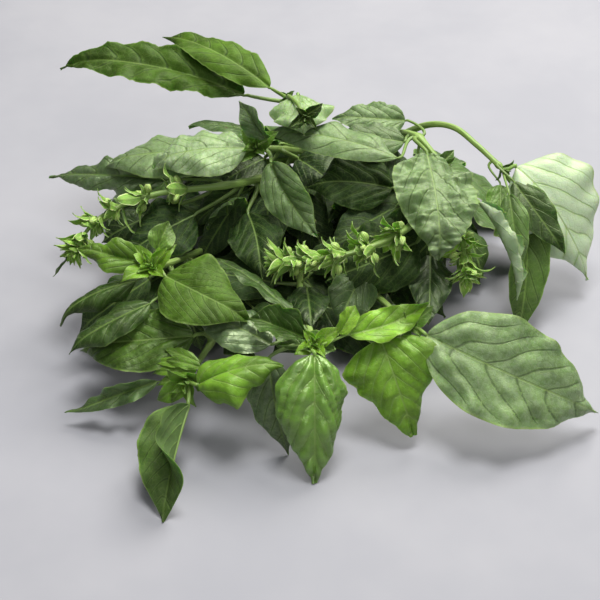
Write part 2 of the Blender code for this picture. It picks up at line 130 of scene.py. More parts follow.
# at is the place along the stem, 0 to 1. base and tip are the ends of the blade, and face is the way
# its upper side looks. rise and droop turn the midrib up at the base and down at the tip, sweep bends
# it sideways, and twist turns the blade along its length. fold lifts both halves off the midrib and
# cup curls them further up, or down where it is negative. Angles are in degrees.
Leaf = namedtuple(
    "Leaf",
    "name stem at base tip width face rise droop sweep twist fold cup",
    defaults=(10, 15, 0, 0, 14, -36),
)
LEAVES = [
    Leaf("crown_long", "crown", 0.92, (-26, 102, 76), (-117, 117, 86), 23,
         (0, -0.35, 1), 14, 12, 6, -12, 14, -24),
    Leaf("crown_back", "crown", 1.0, (-14, 92, 86), (-67, 133, 91), 20, (0.1, -0.4, 1), 16, 14, 4, 10),
    Leaf("crown_cap", "crown", 0.95, (-1, 86, 86), (2, 62, 79), 29, (0, -0.2, 1), 14, 40, 0, 0, 10, -60),
    Leaf("crown_rear", "crown", 0.5, (2, 122, 46), (-16, 152, 0.5), 30, (0, 1, 0.5), 20, 20, 8, 10),
    Leaf("top_pale", "top_right", 0.84, (44, 54, 73), (-18, 76, 73), 19,
         (0, -0.3, 1), 12, 10, 4, 0, 8, -50),
    Leaf("top_ridge", "top_right", 0.86, (49, 86, 72), (14, 88, 73), 17, (0.3, -0.6, 0.8), 14, 18, -6, 10),
    Leaf("crinkled", "top_right", 0.86, (57, 56, 74), (61, 8, 49), 37,
         (0.1, -0.5, 1), 20, 35, 0, 0, 10, -40),
    Leaf("top_rear", "top_right", 0.5, (32, 114, 52), (38, 156, 16), 28, (0, 1, 0.8), 20, 20),
    Leaf("left_pale", "top_left", 0.97, (-24, 62, 73), (-69, 57, 66), 28,
         (0, -0.35, 1), 12, 30, 4, 0, 10, -44),
    Leaf("left_behind", "top_left", 0.93, (-32, 71, 66), (-94, 71, 58), 26,
         (0, -0.3, 1), 12, 20, -4, -8, 10, -60),
    Leaf("left_ridge", "top_left", 1.0, (-18, 80, 69), (-52, 84, 70), 18, (0, 0.2, 1)),
    Leaf("left_upright", "top_left", 1.0, (-15, 64, 76), (-27, 69, 93), 14,
         (-0.3, -1, 0.3), 10, 20, 6, 20, 26, -20),
    Leaf("inner_hanging", "top_left", 0.9, (-13, 58, 67), (8, 33, 44), 22,
         (-0.2, -1, 0.6), 15, 10, 8, -14, 18, -26),
    Leaf("left_rear", "top_left", 0.6, (-18, 94, 50), (-64, 106, 34), 28, (-0.2, 0.6, 1), 14, 22, 8, 12),
    Leaf("mid_rear", "top_left", 0.32, (-10, 118, 38), (-44, 136, 26), 27, (-0.2, 0.8, 1)),
    Leaf("left_curled", "flower_left", 0.59, (-62, 64, 54), (-120, 79, 46), 17,
         (0, -0.5, 1), 6, 8, 0, 0, 20, -90),
    Leaf("inner_left", "flower_left", 0.48, (-24, 52, 44), (-17, 14, 34), 25,
         (0, -0.8, 0.8), 16, 22, -8, 12),
    Leaf("inner_far_left", "flower_left", 0.54, (-48, 48, 46), (-79, 30, 36), 29, (-0.2, -0.6, 0.8)),
    Leaf("inner_right", "flower_centre", 0.54, (42, 56, 55), (2, 60, 53), 28, (0, -0.5, 1), 14, 22, 6, 10),
    Leaf("inner_centre", "flower_centre", 0.61, (52, 27, 46), (10, 13, 35), 33,
         (0, -0.6, 0.8), 12, 20, -6, 8),
    Leaf("rosette_right", "rosette", 0.99, (-58, -1, 50), (-21, -24, 45), 33,
         (0.1, -0.5, 1), 14, 18, 6, 0, 12, -34),
    Leaf("rosette_left", "rosette", 1.0, (-69, 7, 51), (-97, 16, 52), 15,
         (0, -0.4, 1), 10, 16, -8, 10, 20, -24),
    Leaf("inner_low", "front", 0.6, (12, 21, 14), (52, -4, 7), 34, (0, -0.3, 1)),
    Leaf("rosette_low", "rosette", 0.95, (-71, 4, 43), (-107, -8, 30), 17, (-0.2, -0.2, 1), 14, 12, 8),
    Leaf("rosette_under", "rosette", 0.88, (-64, -10, 42), (-100, -26, 28), 18, (-0.2, -0.3, 1)),
    Leaf("low_large", "low_left", 0.85, (-45, -23, 35), (-98, -15, 21), 30,
         (0, -0.4, 1), 12, 16, -6, 0, 12, -34),
    Leaf("low_narrow", "low_left", 1.0, (-60, -38, 22), (-99, -41, 5), 10, (-0.2, -0.6, 1), 10, 10, 0, 40),
    Leaf("low_bright", "low_left", 1.0, (-42, -50, 32), (-6, -49, 42), 26,
         (0, -0.5, 1), 20, 30, -8, -16, 18, -50),
    Leaf("low_hanging", "low_left", 1.0, (-46, -55, 25), (-55, -97, 0.6), 31,
         (-0.4, -1, 0.3), 10, 10, 0, 0, 30, -20),
    Leaf("front_glossy", "front", 1.0, (6, -46, 45), (6, -75, 0), 32, (0, -1, 0.5), 35, 14),
    Leaf("front_dark", "front", 0.97, (-13, -42, 38), (-5, -60, 0.3), 22,
         (-0.3, -1, 0.4), 20, 8, 0, 14, 20, -20),
    Leaf("front_folded", "front", 1.0, (2, -37, 46), (-22, -25, 47), 20, (0, -0.3, 1), 10, 10, 0, 0, 30, 0),
    Leaf("front_band", "front", 0.95, (-4, -20, 46), (-44, 17, 47), 15, (0.4, 0.4, 1)),
    Leaf("front_bluish", "front", 0.9, (-12, -34, 40), (-46, -12, 36), 22, (0, -0.4, 1), 10, 15, 6, 10),
    Leaf("front_wavy", "front", 1.0, (20, -36, 47), (54, -25, 56), 15,
         (0, -0.6, 1), -10, -30, 10, 24, 20, -10),
    Leaf("right_bright", "right_front", 0.97, (33, -33, 43), (48, -56, 7), 36,
         (0.1, -1, 0.6), 30, 10, 0, -8, 8, -22),
    Leaf("right_large", "right_front", 1.0, (52, -34, 45), (129, -49, 13), 44,
         (-0.1, -0.8, 1), 14, 18, 5, 6, 10, -22),
    Leaf("right_curled", "flower_right", 0.77, (80, 38, 60), (98, 10, 26), 16, (0.8, -0.6, 0.6), 20, 20),
    Leaf("right_inner", "flower_right", 0.72, (59, 32, 35), (56, -6, 26), 20, (0, -0.6, 0.8)),
    Leaf("drooping_large", "right_back", 1.0, (99, 65, 61), (137, 40, 13), 50,
         (0.25, -0.45, 1), 30, 10, 0, 0, 16, -30),
    Leaf("drooping_inner", "right_back", 1.0, (94, 46, 58), (99, 25, 32), 14, (-0.1, -0.8, 0.6), 20, 10),
    Leaf("drooping_long", "right_back", 1.0, (103, 58, 46), (99, 12, 0), 22,
         (0.2, -0.8, 0.8), 20, 14, -5, 10, 22, -26),
    Leaf("right_side", "flower_right", 0.45, (78, 80, 30), (113, 66, 2), 26, (0.3, 0.2, 1), 14, 16, 6, 6),
    Leaf("back_left_side", "back_left", 1.0, (-56, 116, 27), (-104, 98, 0.4), 30,
         (0, 0.2, 1), 14, 16, 8, 8),
    Leaf("back_left_rear", "back_left", 0.95, (-48, 123, 26), (-68, 156, 0.4), 28,
         (-0.2, 0.4, 1), 14, 16, -8, -8),
    Leaf("back_right_side", "back_right", 1.0, (72, 111, 26), (116, 98, 0.4), 30,
         (0, 0.2, 1), 14, 16, -8, -8),
    Leaf("back_right_rear", "back_right", 0.95, (64, 120, 26), (80, 156, 0.4), 28,
         (0.2, 0.4, 1), 14, 16, 8, 8),
]
# Smaller leaves on the same stems, as looks only.
EXTRA_LEAVES = [
    Leaf("folded_bright", "rosette", 0.99, (-62, 11, 54), (-57, 21, 62), 13, (0.2, -1, 0.5), fold=30),
    Leaf("curled_bright", "front", 0.99, (16, -37, 48), (23, -27, 55), 12, (0.2, -0.8, 0.5), fold=30, cup=10),
    Leaf("edge_on", "front", 0.96, (14, -40, 42), (-10, -33, 38), 14, (0, -0.2, 1), fold=30, cup=-10),
    Leaf("drooping_dark", "right_back", 0.98, (97, 57, 58), (120, 31, 36), 16, (-0.3, -0.7, 1), fold=14),
    # The next six leaves fill gaps inside the bunch; their near-black looks are painted shade.
    Leaf("under_spike_left", "flower_left", 0.62, (-66, 58, 40), (-93, 50, 28), 25, (0, -0.5, 1)),
    Leaf("over_front", "front", 0.78, (3, 6, 37), (5, -24, 40), 18, (0, -0.6, 1)),
    Leaf("behind_gap_left", "top_left", 0.72, (-17, 92, 47), (-38, 76, 42), 25, (0, -0.3, 1)),
    Leaf("behind_gap_right", "top_left", 0.68, (-1, 93, 46), (16, 73, 44), 25, (0, -0.3, 1)),
    Leaf("under_front", "front", 0.8, (9, 0, 25), (-12, -17, 19), 21, (0, -0.5, 1)),
    Leaf("under_right", "right_front", 0.72, (30, 4, 25), (47, -16, 20), 21, (0, -0.5, 1)),
    Leaf("spike_tip", "flower_left", 0.97, (-102, 22, 42), (-108, 13, 37), 4.5, (-1, -0.2, 0.3), fold=30),
    Leaf("under_spike", "flower_centre", 0.66, (28, 16, 38), (16, -8, 27), 22, (0, -0.6, 0.8)),
    Leaf("behind_pale", "top_right", 0.8, (48, 74, 68), (16, 77, 69), 18, (0, -0.5, 1)),
    Leaf("small_round", "right_back", 0.95, (92, 60, 54), (91, 45, 43), 14, (0, -1, 0.4), fold=10),
]

# How each leaf looks. light runs from dark to bright green, yellow from blue green to yellow green,
# and grey adds painted sheen, the pale glare of a leaf seen against the light. relief is the height in
# mm that the blade puffs up between its veins, wave is the height of its margin's waves as a share of its
# width, teeth is how deeply the margin is toothed, crinkle is the height in mm of its blisters, and gloss
# is how shiny it is. veins is its number of lateral veins a side, and arch how steeply they rise. widest is
# the share of its length at which it is widest, curl bends its tip down by that many mm, and lop folds
# one half up by that many degrees more near the stalk, the other if below 0. roll curls both margins up
# by that many degrees, and sag curls one margin down, the other if below 0.
Look = namedtuple(
    "Look",
    "light yellow grey relief wave teeth crinkle gloss veins arch widest curl lop roll sag",
    defaults=(0.40, 0.2, 0.1, 0.9, 0.08, 0.012, 0.15, 0.5, 5, 0.95, 0.36, 2.0, 0.0, 0.0, 0.0),
)
LOOKS = {
    "crown_long": Look(0.3, 0.72, 0, 0.9, 0.16, 0.03, 0.7, 0.3, 7, 0.8, 0.45, 8, 20),
    "crown_back": Look(0.42, 0.75, 0, 0.6, 0.06, 0.02, 0.2, 0.3, 7, 0.8, 0.42),
    "crown_cap": Look(0.76, 0.3, 0.95, 0.8, 0.12, crinkle=0.5),
    "top_pale": Look(0.46, 0.35, 0.55, 0.5, 0.05, gloss=0.6, widest=0.5, curl=3),
    "top_ridge": Look(0.34, 0.2, 0.4, 0.8, 0.1, 0.04, 0.4, curl=5),
    "crinkled": Look(0.42, 0.38, 0.5, 1, 0.09, 0.01, 1.7, 0.5, 5, 0.9, 0.34, 6, 14),
    "left_pale": Look(0.66, 0.3, 0.95, 0.6, 0.1, crinkle=0.6, curl=5),
    "left_behind": Look(0.46, 0.4, 0.55, 0.6, 0.08, crinkle=0.4, curl=5),
    "left_ridge": Look(0.24, 0.15, 0.1),
    "left_upright": Look(0.24, 0.1, 0.4, 0.6, 0.12, curl=-4, lop=40),
    "left_curled": Look(0.2, 0.15, 0.3, 0.7, 0.2, 0.04, 0.5, gloss=0.7, lop=30),
    "inner_hanging": Look(0.46, 0.35, 0.4, 0.8, 0.08, crinkle=0.3, lop=-24),
    # The inner leaves are painted very dark: painted shade inside the bunch.
    "inner_left": Look(0.06, 0.35, 0, 0.9, gloss=0.3),
    "inner_far_left": Look(0.05, 0.2, 0, gloss=0.3),
    "inner_right": Look(0.08, 0.45, 0, 1.3, gloss=0.3),
    "inner_centre": Look(0.08, 0.45, 0, 1.3, gloss=0.3),
    "inner_low": Look(0.05, 0.1, 0.05),
    "rosette_right": Look(0.41, 0.7, 0, 1.6, 0.05, 0.006, 0.1, 0.3, 6, 1.2, curl=5),
    "rosette_left": Look(0.62, 0.75, 0, 0.8, 0.12, 0.03, 0.2, curl=3, lop=50, roll=-50),
    "rosette_low": Look(0.22, 0.5, 0, 0.7, 0.08, curl=7, roll=-115),
    "rosette_under": Look(0.18, 0.45, 0, 0.9, 0.08, curl=4, lop=-20, roll=-50),
    "low_large": Look(0.36, 0.6, 0, 2.2, 0.08, 0.006, 0.2, 0.5, 6, 1.15, curl=4),
    "low_narrow": Look(0.24, 0.2, 0.15, 0.4, 0.25, 0.02, 0.15, curl=-3, lop=60),
    "low_bright": Look(0.78, 0.6, 0, 0.9, 0.14, 0.02, 0.25, 0.5, lop=30, roll=-80),
    "low_hanging": Look(0.32, 0.7, 0.1, 0.5, 0.06, 0.01, 0.12, 0.2, 6, curl=-4, lop=-84),
    "front_glossy": Look(0.74, 0.36, 0.1, 3, 0.04, 0.01, 0.5, 0.9, 5, 1.2, 0.38, roll=-34),
    "front_dark": Look(0.16, 0, 0.35, 0.6, 0.06, gloss=0.6),
    "front_folded": Look(0.26, 0.36, 0, 0.6, 0.14, lop=40),
    "front_band": Look(0.18, 0.3, 0, 0.5, 0.14),
    "front_bluish": Look(0.22, 0, 0.4, 0.9, 0.1, crinkle=0.3, gloss=0.8),
    "front_wavy": Look(0.88, 0.75, 0, 0.5, 0.22, 0.02, 0.12, 0.4, curl=-6),
    "right_bright": Look(0.8, 0.66, 0, 1.5, 0.06, 0.01, 0.3, 0.5, 5, 0.9, 0.24, 3, -16, -36),
    "right_large": Look(0.58, 0.42, 0.7, 2.5, 0.08, 0, 0.7, 0.5, 6, 0.8, 0.38, 6),
    "right_curled": Look(0.9, 0.4, 1.5, 0.5, 0.16, 0.08, 0.4, roll=170),
    # right_inner too is painted dark as shade inside the bunch.
    "right_inner": Look(0.07, 0.1, 0.05),
    "drooping_large": Look(1, 0.3, 1.5, 1, 0.06, 0, 0.12, 0.5, 5, 0.9, 0.36, 4, sag=100),
    "drooping_inner": Look(0.5, 0.4, 0.2, 0.5),
    "drooping_long": Look(0.36, 0.6, 0.1, 0.5, 0.06, 0.01, 0.08, 0.3, 6, curl=3, lop=20),
    "folded_bright": Look(0.64, 0.65, lop=30),
    "curled_bright": Look(1.0, 1.0, lop=30),
    "edge_on": Look(0.5, 0.4),
    "drooping_dark": Look(0.16, 0.4, 0),
    # Leaves that fill gaps inside the bunch, painted near black as shade.
    "under_spike_left": Look(0.04, 0.3, 0),
    "over_front": Look(0.04, 0.3, 0),
    "behind_gap_left": Look(0.03, 0.2, 0),
    "behind_gap_right": Look(0.03, 0.2, 0),
    "under_front": Look(0.02, 0.2, 0),
    "under_right": Look(0.02, 0.2, 0),
    "spike_tip": Look(0.12, 0.2, 0.1, curl=-5.0),
    "under_spike": Look(0.2, 0.1, 0.1),
    "behind_pale": Look(0.24, 0.1, 0.2),
    "small_round": Look(0.66, 0.4, 0.1),
}

# ---- lines, skins and leaves ----

DARK_GREEN = (0.010, 0.026, 0.008)
LEAF_GREEN = (0.052, 0.115, 0.021)
BRIGHT_GREEN = (0.150, 0.330, 0.042)
YELLOW_TINT = (1.36, 1.15, 0.45)
# SHEEN_GREEN and PALEST_SHEEN_GREEN are painted sheen: the pale glare of the light on a leaf, mixed into its
# colour.
SHEEN_GREEN = (0.330, 0.420, 0.235)
PALEST_SHEEN_GREEN = (0.540, 0.645, 0.425)
UNDERSIDE_GREEN = (0.130, 0.205, 0.080)
VEIN_GREEN = (0.240, 0.370, 0.085)
DRY_SPECK = (0.075, 0.050, 0.022)
STEM_GREEN = (0.285, 0.425, 0.100)
DEEP_STEM_GREEN = (0.185, 0.310, 0.055)
PALE_STEM_GREEN = (0.330, 0.430, 0.130)
CORNER_GREEN = (0.360, 0.500, 0.150)
DRY_STEM = (0.300, 0.270, 0.110)
PITH = (0.560, 0.620, 0.380)
# The cups' greens are partly their own colour and partly painted light, made lighter for the light that the
# leaves above keep off the spikes.
CUP_GREEN = (0.200, 0.350, 0.055)
CUP_YELLOW = (0.450, 0.620, 0.150)
CUP_TIP = (0.560, 0.700, 0.260)
CUP_RIB = (0.330, 0.450, 0.130)
CUP_SPOT = (0.090, 0.170, 0.030)
BRACT_RIM_GREEN = (0.580, 0.700, 0.300)
FLOOR_GREY = (0.345, 0.343, 0.362)
FLOOR_CLOUD = (0.385, 0.380, 0.395)
STEM_TONE = (0.5, 0.3, 0.0)
# LEAF_RIM_HIGHLIGHT sets a painted highlight along a leaf's margin; BRACT_RIM and BRACT_RIM_GREEN set a
# bract's pale margin, partly its own colour and partly painted highlight.
LEAF_RIM_HIGHLIGHT = (0.93, 0.985, 0.45)  # shares of the half width where a rim starts and is full, and its strength
BRACT_RIM = (0.66, 0.94, 0.8)


def ease(low, high, value):
    """0 up to low, 1 from high on, and a smooth step between them."""
    share = np.clip((value - low) / (high - low), 0.0, 1.0)
    return share * share * (3 - 2 * share)


def unit(v):
    return v / np.maximum(np.linalg.norm(v, axis=-1, keepdims=True), 1e-9)


def square_to(direction, along):
    """The part of a direction that is square to another one."""
    direction = np.broadcast_to(direction, along.shape)
    return unit(direction - along * (direction * along).sum(-1, keepdims=True))


def turned(first, second, degrees):
    """The direction that many degrees round from the first towards the second."""
    angle = math.radians(degrees)
    return first * math.cos(angle) + second * math.sin(angle)


def ripple(seed, x, y, size):
    """A smooth uneven surface, about -1 to 1, whose bumps are about size apart."""
    draw = random.Random(seed)
    total = np.zeros(np.broadcast(x, y).shape)
    for _ in range(5):
        turn, shift = draw.uniform(0, 2 * math.pi), draw.uniform(0, 2 * math.pi)
        reach = 2 * math.pi / (size * draw.uniform(0.8, 1.6))
        total = total + np.sin((x * math.cos(turn) + y * math.sin(turn)) * reach + shift)
    return total / 2.6


def gaps_between(points):
    return np.linalg.norm(np.diff(points, axis=0), axis=1)


def run_of(points):
    """How far along a line each of its points is."""
    return np.concatenate([[0], np.cumsum(gaps_between(points))])


def smooth_route(points, count):
    """count points evenly spread along a Catmull-Rom curve through the given ones."""
    knots = [np.array(p, float) for p in points]
    knots = [2 * knots[0] - knots[1], *knots, 2 * knots[-1] - knots[-2]]
    fine = []
    for a, b, c, d in zip(knots, knots[1:], knots[2:], knots[3:]):
        for t in np.arange(SPAN_STEPS) / SPAN_STEPS:
            linear = (c - a) * t
            square = (2 * a - 5 * b + 4 * c - d) * t**2
            cube = (3 * b - a - 3 * c + d) * t**3
            fine.append(0.5 * (2 * b + linear + square + cube))
    fine = np.array([*fine, knots[-2]])
    run = run_of(fine)
    spread = np.linspace(0, run[-1], count)
    return np.stack([np.interp(spread, run, fine[:, k]) for k in range(3)], axis=1)


ROUTES = {name: smooth_route(route, ROUTE_POINTS) for name, route in STEMS.items()}


def on_stem(name, share):
    """The point and the direction at a share of the way along a stem."""
    route = ROUTES[name]
    spot = share * (len(route) - 1)
    k = min(int(spot), len(route) - 2)
    return route[k] + (route[k + 1] - route[k]) * (spot - k), unit(route[k + 1] - route[k])


def stem_radius(share):
    return CUT_RADIUS + (TIP_RADIUS - CUT_RADIUS) * share


def cubic(a, b, c, d, t):
    """Points and directions along a Bezier curve."""
    t = np.asarray(t, float)[:, None]
    u = 1 - t
    point = a * u**3 + b * (3 * u * u * t) + c * (3 * u * t * t) + d * t**3
    slope = (b - a) * (u * u) + (c - b) * (2 * u * t) + (d - c) * (t * t)
    return point, unit(slope)


class Shape:
    """A mesh in the making: points, faces, a material number for each face, and three attributes.

    blade says where a point is on a leaf or stem, flat is its place in mm on the skin laid flat, and
    tone is how light, yellow and grey it is. The finishes read all three.
    """

    def __init__(self):
        self.points, self.faces, self.finish = [], [], []
        self.marks = {"blade": [], "flat": [], "tone": []}
        self.count = 0

    def add(self, points, faces, finish, blade, flat, tone):
        n = len(points)
        self.points.append(points)
        self.faces += [tuple(v + self.count for v in face) for face in faces]
        self.finish += [finish] * len(faces)
        for key, value in (("blade", blade), ("flat", flat), ("tone", tone)):
            self.marks[key].append(np.broadcast_to(np.asarray(value, float), (n, 3)))
        self.count += n

    def build(self, name, materials, slot, replaces=()):
        mesh = bpy.data.meshes.new(name)
        points = (np.concatenate(self.points) - ORIGIN) * MM
        mesh.from_pydata(points.tolist(), [], self.faces)
        mesh.polygons.foreach_set("material_index", self.finish)
        mesh.shade_smooth()
        mesh.set_sharp_from_angle(angle=math.radians(80))
        for key, value in self.marks.items():
            layer = mesh.attributes.new(key, "FLOAT_VECTOR", "POINT")
            layer.data.foreach_set("vector", np.concatenate(value).astype(np.float32).ravel())
        for material in materials:
            mesh.materials.append(material)
        made = bpy.data.objects.new(name, mesh)
        scene.collection.objects.link(made)
        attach(made, "root")
        if replaces:
            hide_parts(*replaces)


def grid_faces(rows, columns):
    """Faces of a skin whose cross-sections are closed loops of points, with a face over each end."""
    faces = []
    for r in range(rows - 1):
        for k in range(columns):
            a, b = r * columns + k, r * columns + (k + 1) % columns
            faces.append((a, b, b + columns, a + columns))
    faces.append(tuple(range(columns - 1, -1, -1)))
    faces.append(tuple(range((rows - 1) * columns, rows * columns)))
    return faces


def frames_along(points):
    """Two directions square to a line of points, which turn as little as they can along it."""
    ahead = unit(np.gradient(points, axis=0))
    side = np.zeros_like(points)
    first = np.array([1.0, 0, 0]) if abs(ahead[0][0]) < 0.8 else np.array([0, 1.0, 0])
    side[0] = square_to(first, ahead[0])
    for i in range(1, len(points)):
        side[i] = square_to(side[i - 1], ahead[i])
    return side, np.cross(ahead, side)


def add_tube(shape, points, radii, sides, finish, tone, seed=0.0, square=0.0, hollow=0):
    """A rod along a line of points. square pushes its four corners out, as on a mint's stem, and the
    first points, as many as hollow, lie inside the hole in its cut end."""
    line = points.copy()
    ahead = unit(points[hollow + 1] - points[hollow])
    for i in range(hollow):
        line[i] = points[hollow] - ahead * (hollow - i)
    side, up = frames_along(line)
    turn = np.arange(sides) * 2 * math.pi / sides
    corner = np.cos(4 * turn)
    order = np.arange(len(points))[:, None]
    reach = np.asarray(radii)[:, None] * (1 - np.where(order < hollow - 1, 0.0, square) * corner)
    ring = side[:, None] * np.cos(turn)[None, :, None] + up[:, None] * np.sin(turn)[None, :, None]
    skin = points[:, None] + ring * reach[..., None]
    flat, blade = np.zeros_like(skin), np.zeros_like(skin)
    flat[..., 0], flat[..., 1], flat[..., 2] = turn / (2 * math.pi) * GIRTH, run_of(points)[:, None], seed
    blade[..., 0], blade[..., 1] = order < hollow, corner
    faces = grid_faces(len(points), sides)
    shape.add(skin.reshape(-1, 3), faces, finish, blade.reshape(-1, 3), flat.reshape(-1, 3), tone)


def blade_length(leaf):
    return np.linalg.norm(np.array(leaf.tip, float) - np.array(leaf.base, float))


def leaf_line(leaf):
    """The stem's node, the stalk's curve and the midrib's, each as four Bezier points, and the way up.
    A leaflet has no node and no stalk."""
    base, tip, length = np.array(leaf.base, float), np.array(leaf.tip, float), blade_length(leaf)
    chord = unit(tip - base)
    up = square_to(np.array(leaf.face, float), chord)
    side = np.cross(chord, up)
    rise, droop, sweep = (math.radians(a) for a in (leaf.rise, leaf.droop, leaf.sweep))
    first = unit(chord * math.cos(rise) + up * math.sin(rise) + side * math.tan(sweep))
    last = unit(chord * math.cos(droop) - up * math.sin(droop) - side * math.tan(sweep))
    rib = (base, base + first * length * HANDLE, tip - last * length * HANDLE, tip)
    if leaf.stem is None:
        return None, None, rib, up
    node, along = on_stem(leaf.stem, leaf.at)
    out = square_to(base - node, along)
    if leaf.at == 1.0:
        out = unit((out + along) / 2)
    start = node + out * (stem_radius(leaf.at) + STALK_RADIUS + GAP)
    reach = np.linalg.norm(base - start) / 3
    stalk = (start, start + out * reach * 0.7, base - first * reach * 0.5, base)
    return node, stalk, rib, up


def midline(leaf, look, rows):
    """Points down the midrib, closer together at its ends, with the ways right and up from each, and
    each point's share of the length."""
    _, _, rib, up = leaf_line(leaf)
    u = np.linspace(0, 1, rows)
    s = 0.004 + 0.992 * (0.7 * u + 0.3 * (1 - np.cos(np.pi * u)) / 2)
    middle, ahead = cubic(*rib, s)
    upward = square_to(up, ahead)
    turn = math.radians(leaf.twist) * (s - TWIST_PIVOT)
    upward = upward * np.cos(turn)[:, None] + np.cross(ahead, upward) * np.sin(turn)[:, None]
    curl = 0.0 if leaf.tip[2] < LOW_TIP else look.curl * min(1.0, blade_length(leaf) / CURL_LENGTH)
    middle = middle - upward * (curl * np.clip((s - 0.7) / 0.3, 0, 1) ** 2)[:, None]
    return middle, np.cross(ahead, upward), upward, s


def half_width(leaf, look, s, t):
    """Half a blade's width: a round base, full sides, a drawn-out tip and a toothed margin."""
    before = np.clip((look.widest - s) / look.widest, 0, 1)
    after = np.clip((s - look.widest) / (1 - look.widest), 0, 1)
    plain = leaf.width / 2 * (1 - before**2.3) ** 0.65 * (1 - after**1.8) * (1 - 0.35 * ease(0.7, 1.0, s))
    teeth = round(blade_length(leaf) / TOOTH) + 0.5
    notch = 2 * math.pi * (s * teeth + 0.37 * (t > 0))
    saw = np.sin(notch + 0.8 * np.sin(notch))
    return plain * (1 + look.teeth * saw * ease(0.6, 1.0, np.abs(t)) * ease(0.08, 0.2, s))


def vein_phase(leaf, look, s, t, across, down):
    """A measure with a whole number at each lateral vein. The veins leave the midrib at an angle and bow
    towards the tip."""
    origin = s - look.arch * (np.abs(across) + BOW * across**2 / leaf.width) / blade_length(leaf)
    uneven = 0.16 * ripple(leaf.name + "v", across, down, 24.0) * ease(0.0, 0.3, np.abs(t))
    return look.veins * (origin + 1.0) + uneven + 0.3 * ease(-0.3, 0.3, t)


def surface_lift(leaf, look, s, t, across, down, width, phase):
    """How far a blade's skin stands off its plain fold: puffs, midrib groove, blisters and waves."""
    name, edge, scale = leaf.name, np.abs(t), min(1.0, leaf.width / FULL_WIDTH)
    puff = np.abs(np.sin(np.pi * phase)) ** 0.8
    envelope = ease(0.02, 0.3, edge) * (1 - 0.8 * edge**5) * ease(0.0, 0.12, s) * (1 - 0.5 * s)
    lift = look.relief * (puff - 0.4) * envelope * scale
    lift -= RIB_GROOVE * np.exp(-((across / 1.1) ** 2)) * (1 - s) * scale
    lift += look.crinkle * ripple(name + "a", across, down, 9.0) * ease(0.05, 0.4, edge) * ease(0, 0.15, s)
    lift += look.crinkle * 0.35 * ripple(name + "b", across, down, 2.8) * ease(0.05, 0.3, edge)
    lift += SWELL_SHARE * leaf.width * ripple(name + "c", across, down, leaf.width) * edge
    waves, shift = 2 + round(blade_length(leaf) / WAVE_LENGTH), random.Random(name + "w").uniform(0, 6.28)
    wave = np.where(t > 0, np.sin(s * waves * 6.28 + shift), np.sin(s * waves * 5.6 + shift))
    return lift + look.wave * width * wave * edge**2.5


def blade_skin(leaf, look, rows, columns):
    """Points of a blade's two sides as closed cross-sections, the marks that its finish reads, and its
    midline: its points, the way up at each and their shares of the length."""
    middle, side, upward, s_line = midline(leaf, look, rows)
    t_line = np.linspace(-1, 1, columns)
    t_line = np.sign(t_line) * np.abs(t_line) ** 0.9
    s, t = np.meshgrid(s_line, t_line, indexing="ij")
    edge, length = np.abs(t), blade_length(leaf)
    width = half_width(leaf, look, s, t)
    across, down = t * width, s * length
    phase = vein_phase(leaf, look, s, t, across, down)

    fold = leaf.fold + abs(look.lop) * (t * look.lop > 0) * (1 - ease(0.35, 0.75, s))
    cup = leaf.cup + look.roll - abs(look.sag) * (t * look.sag > 0)
    angle = np.radians(fold + cup * edge / 2)
    bend = np.radians(fold + cup * edge) * np.sign(t)
    over = middle[:, None] + side[:, None] * (across * np.cos(angle))[..., None]
    over = over + upward[:, None] * (np.abs(across) * np.sin(angle))[..., None]
    normal = upward[:, None] * np.cos(bend)[..., None] - side[:, None] * np.sin(bend)[..., None]
    over = over + normal * surface_lift(leaf, look, s, t, across, down, width, phase)[..., None]
    near = np.minimum(phase % 1.0, 1 - phase % 1.0) * length / look.veins
    vein = VEIN_THICKER * np.exp(-((near / 0.5) ** 2)) * (1 - edge) * (1 - s)
    under = over - normal * (BLADE_THICKNESS - MARGIN_THINNER * edge**3 + vein)[..., None]
    pressed = np.maximum(0.0, LOWEST - np.minimum(over[..., 2], under[..., 2]))
    over[..., 2] += pressed
    under[..., 2] += pressed

    flat = np.stack([across, down, np.full_like(across, sum(map(ord, leaf.name)) % 97)], axis=-1)
    over_marks = np.stack([s, t, phase + UPPER_SIDE], axis=-1)
    under_marks = np.stack([s, t, -phase - UPPER_SIDE], axis=-1)
    loop = lambda a, b: np.concatenate([a, b[:, -2:0:-1]], axis=1).reshape(-1, a.shape[-1])
    return loop(over, under), loop(over_marks, under_marks), loop(flat, flat), (middle, upward, s_line)


def tone_of(look):
    return look.light, look.yellow, look.grey


def look_of(leaf):
    return LOOKS.get(leaf.name, Look())


def add_leaf_to(shape, leaf, look, grid):
    """A blade, and its stalk, which runs on under the blade as the midrib."""
    rows, columns, sides = grid
    points, blade, flat, midrib = blade_skin(leaf, look, rows, columns)
    shape.add(points, grid_faces(rows, 2 * columns - 2), 0, blade, flat, tone_of(look))
    node, stalk, _, _ = leaf_line(leaf)
    size = min(1.0, leaf.width / RIB_FULL_WIDTH)
    stem_part, _ = cubic(*stalk, np.arange(STALK_STEPS) / STALK_STEPS)
    middle, upward, s = (row[: rows - 3 : 3] for row in midrib)
    thin = (0.62 - 0.45 * s) * size
    rib = middle - upward * (thin + 0.75 * size * (1 - s))[:, None]
    rib[:, 2] = np.maximum(rib[:, 2], LOWEST + thin)
    line = np.concatenate([[node + (stem_part[0] - node) * 0.4], stem_part, rib])
    stalk_radii = np.array([1.5, *np.linspace(1.4, 1.0, STALK_STEPS)]) * STALK_RADIUS * size
    thick = np.concatenate([stalk_radii, thin])
    add_tube(shape, line, thick, sides, 1, tone_of(look), seed=float(len(leaf.name)))


